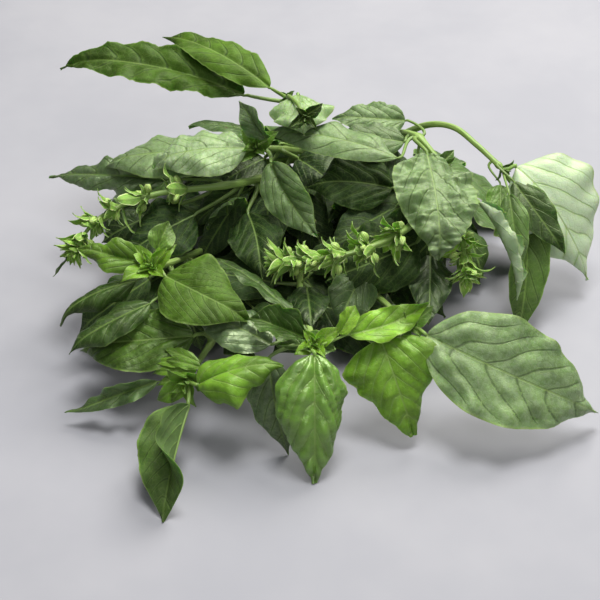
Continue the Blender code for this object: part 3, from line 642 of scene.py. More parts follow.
def add_leaf(leaf):
    """The finer leaf that replaces the CAD's leaf of the same name."""
    look = look_of(leaf)
    shape = Shape()
    add_leaf_to(shape, leaf, look, LEAF_GRID)
    finish = LEAF_FINISHES["glossy" if look.gloss > 0.65 else "matte" if look.gloss < 0.35 else "satin"]
    slot = "young_leaf" if look.yellow > 0.5 else "pale_leaf" if look.grey > 0.4 else "leaf"
    shape.build("basil_leaf_" + leaf.name, [finish, STALK], slot, ["leaf_" + leaf.name])


def add_small_leaf(leaf):
    look = look_of(leaf)
    shape = Shape()
    add_leaf_to(shape, leaf, look, SMALL_GRID)
    slot = "young_leaf" if look.yellow > 0.5 else "leaf"
    shape.build("small_leaf_" + leaf.name, [LEAF_FINISHES["satin"], STALK], slot)


def add_stem(name):
    """A square, shallowly grooved stem that swells at each leaf and is cut off hollow."""
    length = gaps_between(ROUTES[name]).sum()
    share = np.linspace(0, 1, int(length / STEM_SECTION))
    points = np.array([on_stem(name, k)[0] for k in share])
    radii = stem_radius(share)
    for leaf in LEAVES:
        if leaf.stem == name:
            radii = radii * (1 + NODE_SWELL * np.exp(-(((share - leaf.at) * length / NODE_LENGTH) ** 2)))
    if name in SPIKES:
        radii = radii * (1 - SPIKE_THINNER * ease(SPIKES[name][0], 1.0, share))
    radii[-1] *= 0.4
    ahead = unit(points[1] - points[0])
    depths, hole_radii = zip(*CUT_HOLE)
    points = np.concatenate([[points[0] + ahead * depth for depth in depths], points])
    radii = np.concatenate([hole_radii, radii])
    shape, seed = Shape(), float(len(name))
    add_tube(shape, points, radii, STEM_SIDES, 0, STEM_TONE, seed, STEM_SQUARE, len(CUT_HOLE))
    slot = "flowering_stem" if name in SPIKES else "stem"
    shape.build("basil_stem_" + name, [STEM], slot, ["stem_" + name])


# ---- finishes ----


class Graph:
    """A material and its shader nodes in the making."""

    def __init__(self, name):
        self.material = bpy.data.materials.new(name)
        self.material.use_nodes = True
        self.tree = self.material.node_tree
        self.shader = self.tree.nodes["Principled BSDF"]

    def fill(self, socket, value):
        if isinstance(value, bpy.types.NodeSocket):
            self.tree.links.new(value, socket)
        else:
            socket.default_value = value

    def put(self, kind, inputs=(), **settings):
        """Adds a shader node, sets or links its inputs, and returns it."""
        node = self.tree.nodes.new("ShaderNode" + kind)
        for key, value in settings.items():
            setattr(node, key, value)
        for key, value in inputs.items() if isinstance(inputs, dict) else enumerate(inputs):
            self.fill(node.inputs[key], value)
        return node

    def calc(self, operation, *values):
        return self.put("Math", values, operation=operation).outputs[0]

    def plus(self, a, b):
        return self.calc("ADD", a, b)

    def minus(self, a, b):
        return self.calc("SUBTRACT", a, b)

    def times(self, a, b):
        return self.calc("MULTIPLY", a, b)

    def step(self, value, low, high, to_low=0.0, to_high=1.0):
        inputs = (value, low, high, to_low, to_high)
        return self.put("MapRange", inputs, interpolation_type="SMOOTHSTEP").outputs[0]

    def mix(self, share, a, b, kind="MIX"):
        a, b = ((*colour, 1.0) if isinstance(colour, tuple) else colour for colour in (a, b))
        return self.put("Mix", {0: share, 6: a, 7: b}, data_type="RGBA", blend_type=kind).outputs[2]

    def marks(self, name):
        """One of the attributes that a Shape writes, whole and as its three parts."""
        vector = self.put("Attribute", attribute_name=name).outputs["Vector"]
        parts = self.put("SeparateXYZ", [vector]).outputs
        return vector, parts[0], parts[1], parts[2]

    def noise(self, vector, scale, detail=2.0, roughness=0.5):
        inputs = {"Vector": vector, "Scale": scale, "Detail": detail, "Roughness": roughness}
        return self.put("TexNoise", inputs).outputs[0]

    def cells(self, vector, scale, feature="F1"):
        return self.put("TexVoronoi", {"Vector": vector, "Scale": scale}, feature=feature).outputs[0]

    def stretched_noise(self, vector, stretch, scale, detail, roughness=0.5):
        longer = self.put("Mapping", {"Vector": vector, "Scale": (*stretch, 1.0)}).outputs[0]
        return self.noise(longer, scale, detail, roughness)

    def finish(self, colour, roughness):
        self.fill(self.shader.inputs["Base Color"], colour)
        self.fill(self.shader.inputs["Roughness"], roughness)
        return self.material

    def let_light_in(self, weight, radius, scale):
        self.shader.inputs["Subsurface Weight"].default_value = weight
        self.shader.inputs["Subsurface Radius"].default_value = radius
        self.shader.inputs["Subsurface Scale"].default_value = scale

    def bump(self, strength, distance, height):
        bump = self.put("Bump", {"Strength": strength, "Distance": distance, "Height": height})
        self.fill(self.shader.inputs["Normal"], bump.outputs[0])


def base_green(graph):
    """The leaf's green, from its tone, and two parts of that tone: how light and how grey it is."""
    _, light, yellow, grey = graph.marks("tone")
    colour = graph.mix(graph.step(light, 0.0, 0.5), DARK_GREEN, LEAF_GREEN)
    colour = graph.mix(graph.step(light, 0.45, 1.0), colour, BRIGHT_GREEN)
    return graph.mix(yellow, colour, YELLOW_TINT, "MULTIPLY"), light, grey


def lateral_veins(graph, flat, edge, phase):
    """The distance from the nearest lateral vein, as a share of the gap between two, and where one is."""
    size = graph.calc("ABSOLUTE", phase)
    turn = graph.calc("FRACT", size)
    near = graph.calc("MINIMUM", turn, graph.minus(1.0, turn))
    shiver = graph.noise(flat, 0.35)
    near = graph.plus(near, graph.times(graph.minus(shiver, 0.5), 0.05))
    lateral = graph.times(graph.step(near, 0.0, 0.09, 1.0, 0.0), graph.step(edge, 0.97, 0.75))
    lateral = graph.times(lateral, graph.step(size, UPPER_SIDE + 0.02, UPPER_SIDE + 0.1))
    return near, lateral


def leaf_tissue(graph, flat, along, near, net, fine, sheen_share, gain):
    """The colour between a leaf's veins: its green in light and dark patches, under a mottled painted sheen.
    """
    colour, light, grey = base_green(graph)
    patches = graph.noise(flat, 0.11, 3.0, 0.6)
    shade = graph.step(patches, 0.3, 0.7, 0.66 * gain, 1.28 * gain)
    shade = graph.plus(shade, graph.times(graph.minus(fine, 0.5), 0.35))
    # Painted shade: the tip droops away from the light, so the tissue is painted darker towards it.
    shade = graph.times(shade, graph.step(along, 0.45, 1.0, 1.07, 0.68))  # darker towards the tip
    # Painted shade in the grooves between the puffed panels: the tissue is darker near the veins.
    shade = graph.times(shade, graph.step(near, 0.0, 0.34, 0.90, 1.04))  # and along the veins
    dim = graph.put("CombineColor", [shade, shade, shade]).outputs[0]
    tissue = graph.mix(1.0, colour, dim, "MULTIPLY")
    mottle = graph.noise(flat, 0.5, 4.0, 0.7)
    # Painted sheen: a mottled pale glare of the light, as strong as the leaf's grey, and palest on the
    # greyest leaves.
    sheen = graph.times(grey, graph.step(mottle, 0.36, 0.62, 0.62, 1.08))
    tissue = graph.mix(graph.times(sheen, sheen_share), tissue, SHEEN_GREEN)
    tissue = graph.mix(graph.step(grey, 1.0, 1.5, 0.0, 0.7), tissue, PALEST_SHEEN_GREEN)
    return graph.mix(graph.times(net, 0.10), tissue, VEIN_GREEN), light


def upper_side(graph, tissue, light, edge, near, lateral, rib, rim, rim_green):
    """A leaf's upper side: pale bands of painted highlight beside the lateral veins with dark lines of
    painted shade in them on a dark leaf and pale lines on a bright one, a pale midrib and a pale rim of
    painted highlight."""
    # Painted highlight: pale bands beside the lateral veins, where light catches the puffed tissue next to
    # their grooves.
    vein_highlight = graph.times(graph.step(near, 0.20, 0.08), graph.step(edge, 0.95, 0.6))
    upper = graph.mix(graph.times(vein_highlight, 0.16), tissue, VEIN_GREEN)
    # Painted shade: on darker leaves the lateral veins are drawn as dark lines, the shade in their grooves.
    groove_shade = graph.times(lateral, graph.step(light, 0.6, 0.8, 0.52, 0.08))
    pale_line = graph.times(lateral, graph.step(light, 0.6, 0.8, 0.0, 0.45))
    upper = graph.mix(groove_shade, upper, DARK_GREEN)
    upper = graph.mix(pale_line, upper, VEIN_GREEN)
    upper = graph.mix(graph.times(rib, 0.40), upper, VEIN_GREEN)
    # The pale rim along the margin is a painted highlight, stronger on lighter leaves; on a bract it is
    # partly the bract's own pale margin.
    start, full, strength = rim
    margin = graph.step(edge, start, full, 0.0, strength)
    margin = graph.times(margin, graph.step(light, 0.05, 0.45, 0.2, 1.0))
    return graph.mix(margin, upper, rim_green)


def leaf_finish(name, roughness, specular, sheen_share=0.8, rim=LEAF_RIM_HIGHLIGHT, rim_green=VEIN_GREEN, gain=1.0):
    """A basil leaf: green tissue between pale veins, a paler and duller underside, and light through it.
    sheen_share is how much of the painted sheen shows, and gain how light the tissue is."""
    graph = Graph(name)
    flat, wide, _, _ = graph.marks("flat")
    _, along, across, phase = graph.marks("blade")
    underside, edge = graph.calc("LESS_THAN", phase, 0.0), graph.calc("ABSOLUTE", across)
    near, lateral = lateral_veins(graph, flat, edge, phase)
    rib = graph.step(graph.calc("ABSOLUTE", wide), 0.60, 0.25)
    rib = graph.times(rib, graph.step(along, 0.98, 0.6, 0.25, 1.0))
    net = graph.step(graph.cells(flat, 0.42, "DISTANCE_TO_EDGE"), 0.09, 0.0)
    fine = graph.noise(flat, 1.3, 3.0, 0.65)

    tissue, light = leaf_tissue(graph, flat, along, near, net, fine, sheen_share, gain)
    upper = upper_side(graph, tissue, light, edge, near, lateral, rib, rim, rim_green)
    veins = graph.calc("MAXIMUM", graph.times(lateral, 0.55), rib)
    lower = graph.mix(graph.times(veins, 0.7), graph.mix(0.40, tissue, UNDERSIDE_GREEN), VEIN_GREEN)
    skin = graph.mix(underside, upper, lower)
    speck = graph.plus(graph.cells(flat, 0.04), graph.times(fine, 0.06))
    speck = graph.step(speck, 0.062, 0.050)
    skin = graph.mix(graph.times(speck, 0.75), skin, DRY_SPECK)

    relief = graph.minus(graph.times(fine, 0.55), graph.times(net, 0.30))
    groove = graph.times(graph.calc("MAXIMUM", lateral, rib), 0.9)
    groove = graph.times(groove, graph.minus(graph.times(underside, 2.0), 1.0))  # the veins stand out below
    graph.bump(0.7, 0.00022, graph.plus(relief, groove))
    graph.let_light_in(0.35, (0.5, 1.0, 0.18), 0.0008)
    graph.shader.inputs["Specular IOR Level"].default_value = specular
    graph.shader.inputs["Specular Tint"].default_value = (0.86, 1.0, 0.60, 1.0)
    rough = graph.plus(roughness, graph.times(graph.minus(fine, 0.5), 0.22))
    return graph.finish(skin, graph.plus(rough, graph.times(underside, 0.18)))


def stalk_finish():
    """A leaf stalk and midrib: paler than its leaf, with fine lengthwise lines."""
    graph = Graph("leaf stalk")
    colour, _, _ = base_green(graph)
    flat, _, _, _ = graph.marks("flat")
    lines = graph.stretched_noise(flat, (1.4, 0.16), 1.0, 2.0)
    colour = graph.mix(graph.step(lines, 0.25, 0.75, 0.35, 0.8), colour, STEM_GREEN)
    graph.let_light_in(0.2, (0.5, 1.0, 0.2), 0.0008)
    graph.bump(0.6, 0.00015, lines)
    return graph.finish(colour, graph.step(lines, 0.2, 0.8, 0.40, 0.60))


def stem_finish():
    """A square stem: light green with darker streaks, paler corners, a dry foot and pale pith at the cut."""
    graph = Graph("basil stem")
    flat, _, down, _ = graph.marks("flat")
    _, cut, corner, _ = graph.marks("blade")
    streaks = graph.stretched_noise(flat, (1.0, 0.10), 1.1, 3.0, 0.6)
    patches = graph.noise(flat, 0.07, 2.0)
    colour = graph.mix(graph.step(streaks, 0.3, 0.7), DEEP_STEM_GREEN, STEM_GREEN)
    colour = graph.mix(graph.step(patches, 0.45, 0.75, 0.0, 0.5), colour, PALE_STEM_GREEN)
    colour = graph.mix(graph.step(corner, -0.2, -0.9, 0.0, 0.35), colour, CORNER_GREEN)
    colour = graph.mix(graph.step(down, 9.0, 3.0, 0.0, 0.5), colour, DRY_STEM)
    colour = graph.mix(graph.step(cut, 0.3, 0.8), colour, PITH)
    graph.let_light_in(0.2, (0.6, 1.0, 0.3), 0.001)
    graph.bump(0.7, 0.00025, streaks)
    return graph.finish(colour, graph.step(streaks, 0.2, 0.8, 0.38, 0.62))


def cup_finish():
    """Flower cups: yellow green and paler towards the rim, with darker specks and lengthwise ribs."""
    graph = Graph("flower cup")
    flat, around, _, _ = graph.marks("flat")
    _, height, _, _ = graph.marks("blade")
    _, light, _, _ = graph.marks("tone")
    ribs = graph.calc("SINE", graph.times(around, 5.24))
    grain = graph.noise(flat, 1.1, 2.0)
    colour = graph.mix(light, CUP_GREEN, CUP_YELLOW)
    colour = graph.mix(graph.step(height, 0.6, 1.0, 0.0, 0.55), colour, CUP_TIP)
    colour = graph.mix(graph.step(ribs, -0.2, 1.0, 0.0, 0.35), colour, CUP_RIB)
    colour = graph.mix(graph.step(grain, 0.55, 0.8, 0.0, 0.4), colour, CUP_SPOT)
    graph.let_light_in(0.3, (0.5, 1.0, 0.2), 0.0008)
    graph.bump(0.6, 0.00015, ribs)
    return graph.finish(colour, graph.step(grain, 0.2, 0.8, 0.45, 0.65))


def floor_finish():
    """A plain pale floor with a faint cloudy unevenness."""
    graph = Graph("pale floor")
    place = graph.put("NewGeometry").outputs["Position"]
    clouds = graph.noise(place, 9.0, 4.0, 0.6)
    graph.shader.inputs["Specular IOR Level"].default_value = 0.2
    return graph.finish(graph.mix(graph.step(clouds, 0.3, 0.7), FLOOR_GREY, FLOOR_CLOUD), 0.85)


LEAF_FINISHES = {
    "glossy": leaf_finish("glossy leaf", 0.32, 0.95),
    "satin": leaf_finish("leaf", 0.42, 0.50),
    "matte": leaf_finish("matte leaf", 0.55, 0.22),
    # The bract's gain of 1.6 lightens its tissue: painted light for the light that the leaves above keep off
    # the spikes.
    "bract": leaf_finish("bract", 0.50, 0.40, 1.0, BRACT_RIM, BRACT_RIM_GREEN, 1.6),
}
STALK = stalk_finish()
STEM = stem_finish()
CUP = cup_finish()


# ---- flower spikes and shoots ----

# A flower cup's outline: distance along it and reach, as shares of its size.
CUP_OUTLINE = [
    (-0.5, 0.10), (-0.1, 0.12), (0.0, 0.18), (0.12, 0.30), (0.35, 0.38),
    (0.6, 0.36), (0.8, 0.26), (0.95, 0.12), (1.0, 0.04),
]
CUP_SIDES = 10
WHORL_SHRINK = 0.2  # how much smaller a spike's last whorl is than its first
BUD_LEAVES = 18
LEAF_TURN = 137.5  # degrees from one leaf of a bud to the next


def add_cup(shape, foot, ahead, up, size, tone, seed):
    """One closed flower cup, with five shallow ridges, on its short stalk."""
    side = np.cross(ahead, up)
    turn = np.arange(CUP_SIDES) * 2 * math.pi / CUP_SIDES
    ridge = 1 + 0.13 * np.cos(5 * turn)
    ring = up * np.cos(turn)[:, None] + side * np.sin(turn)[:, None]
    rows, marks, flat = [], [], []
    for z, r in CUP_OUTLINE:
        rows.append(foot + ahead * size * z + ring * (size * r * ridge)[:, None])
        marks.append([(max(z, 0.0), 0.0, 0.0)] * CUP_SIDES)
        flat.append([(k * GIRTH / CUP_SIDES, size * z, seed) for k in range(CUP_SIDES)])
    faces = grid_faces(len(rows), CUP_SIDES)
    shape.add(np.concatenate(rows), faces, 0, np.concatenate(marks), np.concatenate(flat), tone)


def leaflet(name, base, way, width, face, **bends):
    """A small leaf with no stalk of its own, from its base along its whole way."""
    return Leaf(name, None, 0.0, tuple(base), tuple(base + way), width, tuple(face), **bends)


def add_leaflet(shape, leaf, look, rows=14, columns=7):
    """A leaflet's blade with its midrib."""
    points, blade, flat, (middle, upward, s) = blade_skin(leaf, look, rows, columns)
    shape.add(points, grid_faces(rows, 2 * columns - 2), 1, blade, flat, tone_of(look))
    rib = middle[::2] - upward[::2] * 0.2
    add_tube(shape, rib, leaf.width * (0.035 - 0.022 * s[::2]), 5, 2, tone_of(look))


def add_flower(shape, name, seed, spot, ahead, out, scale, draw):
    """A flower cup and the pale lip that lies along its upper side."""
    way = unit(out + ahead * draw.uniform(-0.2, 1.1) + np.array([0, 0, -0.12]))
    size = draw.uniform(4.2, 5.6) * scale
    foot = spot + out * 1.5 + ahead * draw.uniform(-2.2, 2.2) + way * size * 0.4
    tone = (draw.uniform(0.4, 1.0), 0.4, 0.0)
    up = square_to(ahead + out * 0.3, way)
    add_cup(shape, foot, way, up, size, tone, seed)
    reach = way * size * 1.2 + up * size * 0.3
    bends = {"rise": 20, "droop": -20, "fold": 12, "cup": 30}
    lip = leaflet(name, foot + up * size * 0.22, reach, size * 1.1, up - way * 0.3, **bends)
    look = Look(draw.uniform(0.85, 1.0), 0.7, 0.2, 0.1, 0.05, 0.0, 0.03, 0.4, 4, widest=0.55, curl=-1.0)
    add_leaflet(shape, lip, look)


def add_bract(shape, name, long, spot, ahead, out, way, draw):
    """A pointed bract of a spike, which bends and twists a little at random."""
    base = spot + out * 1.2 + ahead * draw.uniform(-3.0, 2.0)
    width = long * draw.uniform(0.38, 0.46)
    bends = {"rise": 12, "droop": 26, "fold": 22, "cup": -30, "twist": draw.uniform(-40, 40)}
    leaf = leaflet(name, base, way * long, width, ahead - out * 0.4, **bends)
    light, yellow = draw.uniform(0.75, 1.0), draw.uniform(0.6, 1.0)
    add_leaflet(shape, leaf, Look(light, yellow, 0.12, 0.3, 0.10, 0.0, 0.06, 0.4, 4))


def add_bud(shape, name, scale):
    """The leafy bud at a spike's tip."""
    tip, ahead = on_stem(name, 1.0)
    first = square_to(np.array([0.0, 0.3, 1.0]), ahead)
    second = np.cross(ahead, first)
    for k in range(BUD_LEAVES):
        out = turned(first, second, LEAF_TURN * k)
        way = unit(ahead + out * (1.5 - 0.08 * k))
        long = (12.0 - 0.5 * k) * scale
        base = tip + out * 0.8 - ahead * (6.0 - 0.33 * k)
        bends = {"rise": -8, "droop": -10, "fold": 20, "cup": 14}
        leaf = leaflet(f"{name}bud{k}", base, way * long, long * 0.5, ahead - out, **bends)
        add_leaflet(shape, leaf, Look(0.85 + 0.008 * k, 0.95, 0.10, 0.2, 0.06, 0.0, 0.05, 0.4, 4))


def add_spike(name):
    """Whorls of flower cups and pointed bracts, fewer cups and more bracts towards the bud at the tip."""
    start, whorls, most_cups = SPIKES[name]
    draw = random.Random(name)
    shape = Shape()
    for k in range(whorls):
        along = 0.94 * ((k + 0.5) / whorls) ** 0.65
        spot, ahead = on_stem(name, start + (1 - start) * along)
        scale = 1 - WHORL_SHRINK * along
        first = square_to(np.array([0.3, 0.2, 1.0]), ahead)
        second = np.cross(ahead, first)
        cups, bracts = round(most_cups * (1 - 0.4 * along)), round(most_cups + 2 + 7 * along)
        for cup in range(cups):
            out = turned(first, second, 90 * (k % 2) + 360 / cups * cup + draw.uniform(-16, 16))
            add_flower(shape, f"{name}{k}lip{cup}", float(k * 8 + cup), spot, ahead, out, scale, draw)
        for bract in range(bracts):
            out = turned(first, second, 90 * (k % 2) + 360 / bracts * bract + draw.uniform(-12, 12))
            way = unit(out + ahead * draw.uniform(-0.1, 1.6))
            long = scale * (draw.uniform(13.0, 16.0) if bract % 3 == 0 else draw.uniform(9.0, 12.5))
            add_bract(shape, f"{name}{k}{bract}", long, spot, ahead, out, way, draw)
    add_bud(shape, name, 0.6 + 0.08 * most_cups)
    finishes = [CUP, LEAF_FINISHES["bract"], STALK]
    shape.build("flowers_" + name.split("_")[1], finishes, "flowering_stem")


# A tuft of young leaves at a stem's tip: the length in mm of its largest pair, its number of pairs,
# how light and yellow it is, and how far the tuft turns from the stem's line towards straight up.
SHOOTS = {
    "rosette": (17, 8, 0.95, 0.8, 0.75),
    "crown": (5, 3, 0.5, 0.4, 0.2),
    "top_right": (8, 4, 0.5, 0.4, 0.1),
    "top_left": (14, 4, 0.6, 0.45, 0.3),
    "right_back": (6, 3, 0.6, 0.4, 0.1),
    "low_left": (15, 4, 0.7, 0.5, 0.0),
    "front": (12, 6, 0.9, 0.8, 0.6),
    "right_front": (12, 3, 0.6, 0.4, 0.4),
    "back_left": (14, 4, 0.5, 0.35, 0.3),
    "back_right": (14, 4, 0.5, 0.35, 0.3),
}

# A short side sprig that lies over the crown's lowest leaf and ends in a dark tuft like those above.
CAP_SPRIG = [(-5.5, 93, 79), (-5, 84, 86), (-1, 74, 88), (2, 65, 87)]
CAP_TUFT = (11, 5, 0.16, 0.3, 0.35)
CAP_POINTS = 16


def add_shoot(name, tip, ahead, tuft, shape):
    """A tuft's pairs of leaves, each pair smaller, steeper and more folded than the last."""
    size, pairs, light, yellow, lift = tuft
    draw = random.Random("shoot" + name)
    axis = unit(ahead * (1 - lift) + np.array([0, -0.15, 1.0]) * lift)
    first = square_to(np.array([1.0, 0.2, 0.1]), axis)
    second = np.cross(axis, first)
    for k in range(pairs):
        for half in (0, 1):
            out = turned(first, second, 90 * k + 180 * half + 25 + draw.uniform(-12, 12))
            way = turned(out, axis, 22 + 52 * k / max(pairs - 1, 1))
            long = size * 0.76**k * draw.uniform(0.85, 1.1)
            base = tip + axis * (0.6 * k - 0.6) + out * 0.5
            bends = {"rise": 14 - 5 * k, "droop": 26 - 9 * k, "fold": 22 + 7 * k, "cup": -20 + 8 * k}
            bends["twist"] = draw.uniform(-15, 15)
            leaf = leaflet(f"{name}{k}{half}", base, way * long, long * 0.58, axis - out * 0.2, **bends)
            look = Look(light + 0.03 * k, yellow, 0.0, 0.22, 0.05, 0.05, 0.06, 0.45, 5)
            add_leaflet(shape, leaf, look, 21, 11)
    shape.build("shoot_" + name, [CUP, LEAF_FINISHES["satin"], STALK], "young_leaf")


# Narrow young leaves that lie side by side like a comb at the tip of the lowest left sprig.
COMB = [
    ((-42, -38, 31), (-63, -31, 27)), ((-43, -40, 30), (-63, -35, 24)), ((-44, -42, 29), (-61, -39, 21)),
    ((-45, -44, 28), (-58, -44, 19)), ((-46, -45, 28), (-54, -48, 19)), ((-42, -37, 32), (-58, -27, 31)),
    ((-41, -40, 32), (-57, -33, 30)),
]


def add_comb():
    """The narrow young leaves in one piece, each darker than the last."""
    shape = Shape()
    for k, (base, tip) in enumerate(COMB):
        bends = {"rise": 12, "droop": 18, "fold": 26, "cup": -30}
        leaf = Leaf(f"comb{k}", None, 0.0, base, tip, 5.4, (0, -0.5, 1), **bends)
        add_leaflet(shape, leaf, Look(0.86 - 0.04 * k, 0.6, 0.0, 0.2, 0.08, 0.08, 0.05, 0.45, 5), 21, 9)
    shape.build("young_comb", [CUP, LEAF_FINISHES["satin"], STALK], "young_leaf")


# ---- side leaves ----

COSINE, SINE = 0.766, 0.643  # of the 40 degrees by which the photo looks down
# Side leaves stay under the bunch's own skyline, given as (x, highest COSINE z + SINE y).
SKYLINE = [(-130, 70), (-100, 84), (-62, 98), (-20, 104), (0, 112), (40, 110), (60, 90), (100, 76), (130, 60)]
LOWEST_FRONT = 2.0  # and where that sum is below this there are none
FIRST_NODE = 0.2  # share of a stem's length below which there are none either
NODE_GAP = 16.0  # mm of stem between two pairs of side leaves
COVER_REACH = 4.5  # mm within which a side leaf would hide a point of an outer leaf
CLOUD_REACH = 62  # mm round its node within which a side leaf looks for others
LEAST_ROOM = 1.1  # mm that a side leaf keeps from the other leaves
COARSE_ROWS, COARSE_COLUMNS = 9, 5


def coarse(leaf, look):
    """A few points of a leaf's upper side, enough to tell where it lies."""
    points, _, _, _ = blade_skin(leaf, look, COARSE_ROWS, COARSE_COLUMNS)
    loops = points.reshape(COARSE_ROWS, 2 * COARSE_COLUMNS - 2, 3)
    return loops[:, :COARSE_COLUMNS].reshape(-1, 3)


def from_front_above(points):
    """Sideways and upward places, and nearness, as the photo sees them."""
    sky = COSINE * points[:, 2] + SINE * points[:, 1]
    near = SINE * points[:, 2] - COSINE * points[:, 1]
    return np.stack([points[:, 0], sky], axis=1), near


def covers(points, outer):
    """Whether some of the points lie over the outer leaves or the spikes, as the photo sees them."""
    place, near = from_front_above(points)
    outer_place, outer_near = outer
    gap = ((place[:, None] - outer_place[None]) ** 2).sum(-1)
    return bool(((gap < COVER_REACH**2) & (near[:, None] > outer_near[None] + 0.5)).any())


def allowed(points):
    """Whether all the points lie inside the CAD's box and between the skyline and the front."""
    low, high = (np.array(corner) / MM + ORIGIN for corner in CAD_BOX)
    if (points < low + 2).any() or (points > high - 1).any():
        return False
    place, _ = from_front_above(points)
    sky, (xs, limits) = place[:, 1], zip(*SKYLINE)
    return bool((sky < np.interp(points[:, 0], xs, limits)).all() and (sky > LOWEST_FRONT).all())


def choices(name, stem, at, start, opposite):
    """Side leaves that could stand at a place on a stem, in each turn, pitch and length."""
    spot, ahead = on_stem(stem, at)
    first = square_to(np.array([0.0, 0.0, 1.0]), ahead)
    second = np.cross(ahead, first)
    bends = {"rise": 14, "droop": 24, "fold": 14, "cup": -34}
    for turn in range(0, 180, 20):
        out = turned(first, second, turn + 180 * opposite + start)
        for pitch in (15, 45):
            way = turned(out, ahead, pitch)
            for long in (42, 34, 26):
                base = spot + unit(way + out) * (5 + long * 0.14)
                face = np.array([0, -0.25, 1.0]) - way * 0.3 + ahead * 0.2
                line = tuple(base), tuple(base + way * long)
                yield long, Leaf(name, stem, at, *line, long * 0.52, tuple(face), **bends)


def roomiest(leaves, cloud, outer, draw):
    """The best of some side leaves, its room and its points: a long one with much room is best."""
    best = None
    for long, leaf in leaves:
        points = coarse(leaf, Look())
        if not allowed(points) or covers(points, outer):
            continue
        room = np.inf
        if len(cloud):
            room = math.sqrt(((points[:, None] - cloud[None]) ** 2).sum(-1).min())
        score = min(room, 5.0) + long * 0.07 + draw.uniform(0, 0.4)
        if best is None or score > best[0]:
            best = (score, room, leaf, points)
    return best


def side_leaves(taken):
    """Pairs of smaller leaves along every stem, each turned the way that leaves it most room."""
    outer = from_front_above(np.concatenate(taken))
    found = {name: [] for name in STEMS}
    for name in STEMS:
        draw = random.Random("side" + name)
        end = SPIKES.get(name, (0.97,))[0] - 0.02
        nodes = max(1, int(gaps_between(ROUTES[name]).sum() * (end - FIRST_NODE) / NODE_GAP))
        for k in range(nodes):
            at = FIRST_NODE + (end - FIRST_NODE) * (k + 0.5) / nodes
            spot, _ = on_stem(name, at)
            for half in (0, 1):
                cloud = np.concatenate(taken)
                cloud = cloud[np.linalg.norm(cloud - spot, axis=1) < CLOUD_REACH]
                leaves = choices(f"{name}_{k}_{half}", name, at, 90 * (k % 2), half)
                best = roomiest(leaves, cloud, outer, draw)
                if best is None or best[1] <= LEAST_ROOM:
                    continue
                bends = {"twist": (-14, 14), "sweep": (-8, 8), "cup": (-60, -15), "droop": (12, 34)}
                bends = {key: draw.uniform(*limits) for key, limits in bends.items()}
                found[name].append(best[2]._replace(**bends))
                taken.append(best[3])
    return found


def add_side_leaves(found):
    """One piece for each stem's side leaves, painted dark as shade inside the bunch, whose looks are drawn at
    random.
    """
    for name, leaves in found.items():
        shape = Shape()
        for leaf in leaves:
            draw = random.Random(leaf.name)
            # Their light stays low: painted shade.
            light, yellow, grey = draw.uniform(0.0, 0.20), draw.uniform(0.1, 0.4), draw.uniform(0.0, 0.1)
            relief, wave = draw.uniform(0.5, 1.2), draw.uniform(0.05, 0.14)
            look = Look(light, yellow, grey, relief, wave, 0.015, draw.uniform(0.1, 0.4), 0.5, 5)
            add_leaf_to(shape, leaf, look, SIDE_GRID)
        if leaves:
            shape.build("side_leaves_" + name, [LEAF_FINISHES["matte"], STALK], "leaf")


# ---- the bunch ----

for stem_name in STEMS:
    add_stem(stem_name)
for spike_name in SPIKES:
    add_spike(spike_name)
for shoot_name, shoot_tuft in SHOOTS.items():
    add_shoot(shoot_name, *on_stem(shoot_name, 1.0), shoot_tuft, Shape())
cap_route, cap_shape = smooth_route(CAP_SPRIG, CAP_POINTS), Shape()
add_tube(cap_shape, cap_route, np.linspace(1.1, 0.8, CAP_POINTS), 8, 2, (0.4, 0.4, 0.0))
add_shoot("cap", cap_route[-1], unit(cap_route[-1] - cap_route[-2]), CAP_TUFT, cap_shape)
add_comb()

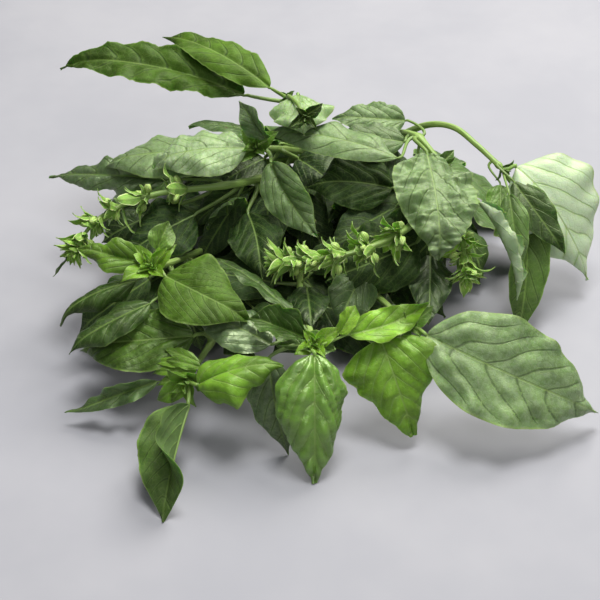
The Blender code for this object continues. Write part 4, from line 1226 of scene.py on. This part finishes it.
occupied = []
for row in LEAVES:
    add_leaf(row)
for row in EXTRA_LEAVES:
    add_small_leaf(row)
for row in LEAVES + EXTRA_LEAVES:
    occupied.append(coarse(row, look_of(row)))
for spike_name, (spike_start, _, _) in SPIKES.items():
    occupied.append(np.array([on_stem(spike_name, k)[0] for k in np.linspace(spike_start, 1, 12)]))
add_side_leaves(side_leaves(occupied))

# ---- floor, light and camera ----

bpy.ops.mesh.primitive_plane_add(size=8.0, location=(0, 0, -ORIGIN[2] * MM))
floor = bpy.context.object
floor.name = "floor"
floor.data.materials.append(floor_finish())
floor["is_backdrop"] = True

world = bpy.data.worlds.new("soft room light")
scene.world = world
world.use_nodes = True
world.node_tree.nodes["Background"].inputs["Color"].default_value = (0.86, 0.90, 1.0, 1.0)
world.node_tree.nodes["Background"].inputs["Strength"].default_value = 0.09


def add_panel(name, place, aim, size, power, colour):
    """A large soft light panel that shines from place towards aim. It isn't seen by the camera."""
    light = bpy.data.lights.new(name, "AREA")
    light.shape, light.size, light.energy, light.color = "SQUARE", size, power, colour
    made = bpy.data.objects.new(name, light)
    made.location = place
    made.rotation_euler = (Vector(aim) - Vector(place)).to_track_quat("-Z", "Y").to_euler()
    made.visible_camera = False
    scene.collection.objects.link(made)


middle = (CAD_BOX[0] + CAD_BOX[1]) / 2
add_panel("window", (0.45, 0.64, 1.02), middle, 0.7, 17.0, (1.0, 0.985, 0.96))
add_panel("skylight", (0.08, 0.08, 1.20), middle, 0.42, 12.5, (0.98, 0.985, 1.0))
add_panel("room fill", (0.20, -1.00, 0.95), middle, 0.8, 4.6, (0.95, 0.97, 1.0))

camera = bpy.data.objects.new("camera", bpy.data.cameras.new("camera"))
camera.data.lens = 85
camera.data.sensor_width = 36
camera.data.clip_start = 0.01
camera.rotation_mode = "QUATERNION"
elevation, distance = math.radians(40), 0.616
aim = Vector(((np.array([0.0, 0.0, 35.0]) - ORIGIN) * MM).tolist())
camera.location = aim + distance * Vector((0, -math.cos(elevation), math.sin(elevation)))
camera.rotation_quaternion = (aim - camera.location).to_track_quat("-Z", "Y")
scene.collection.objects.link(camera)
scene.camera = camera
scene.view_settings.view_transform = "Standard"

boxes = {"cad": CAD_BOX, "visual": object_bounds()}
{key: [list(corner) for corner in box] for key, box in boxes.items()}
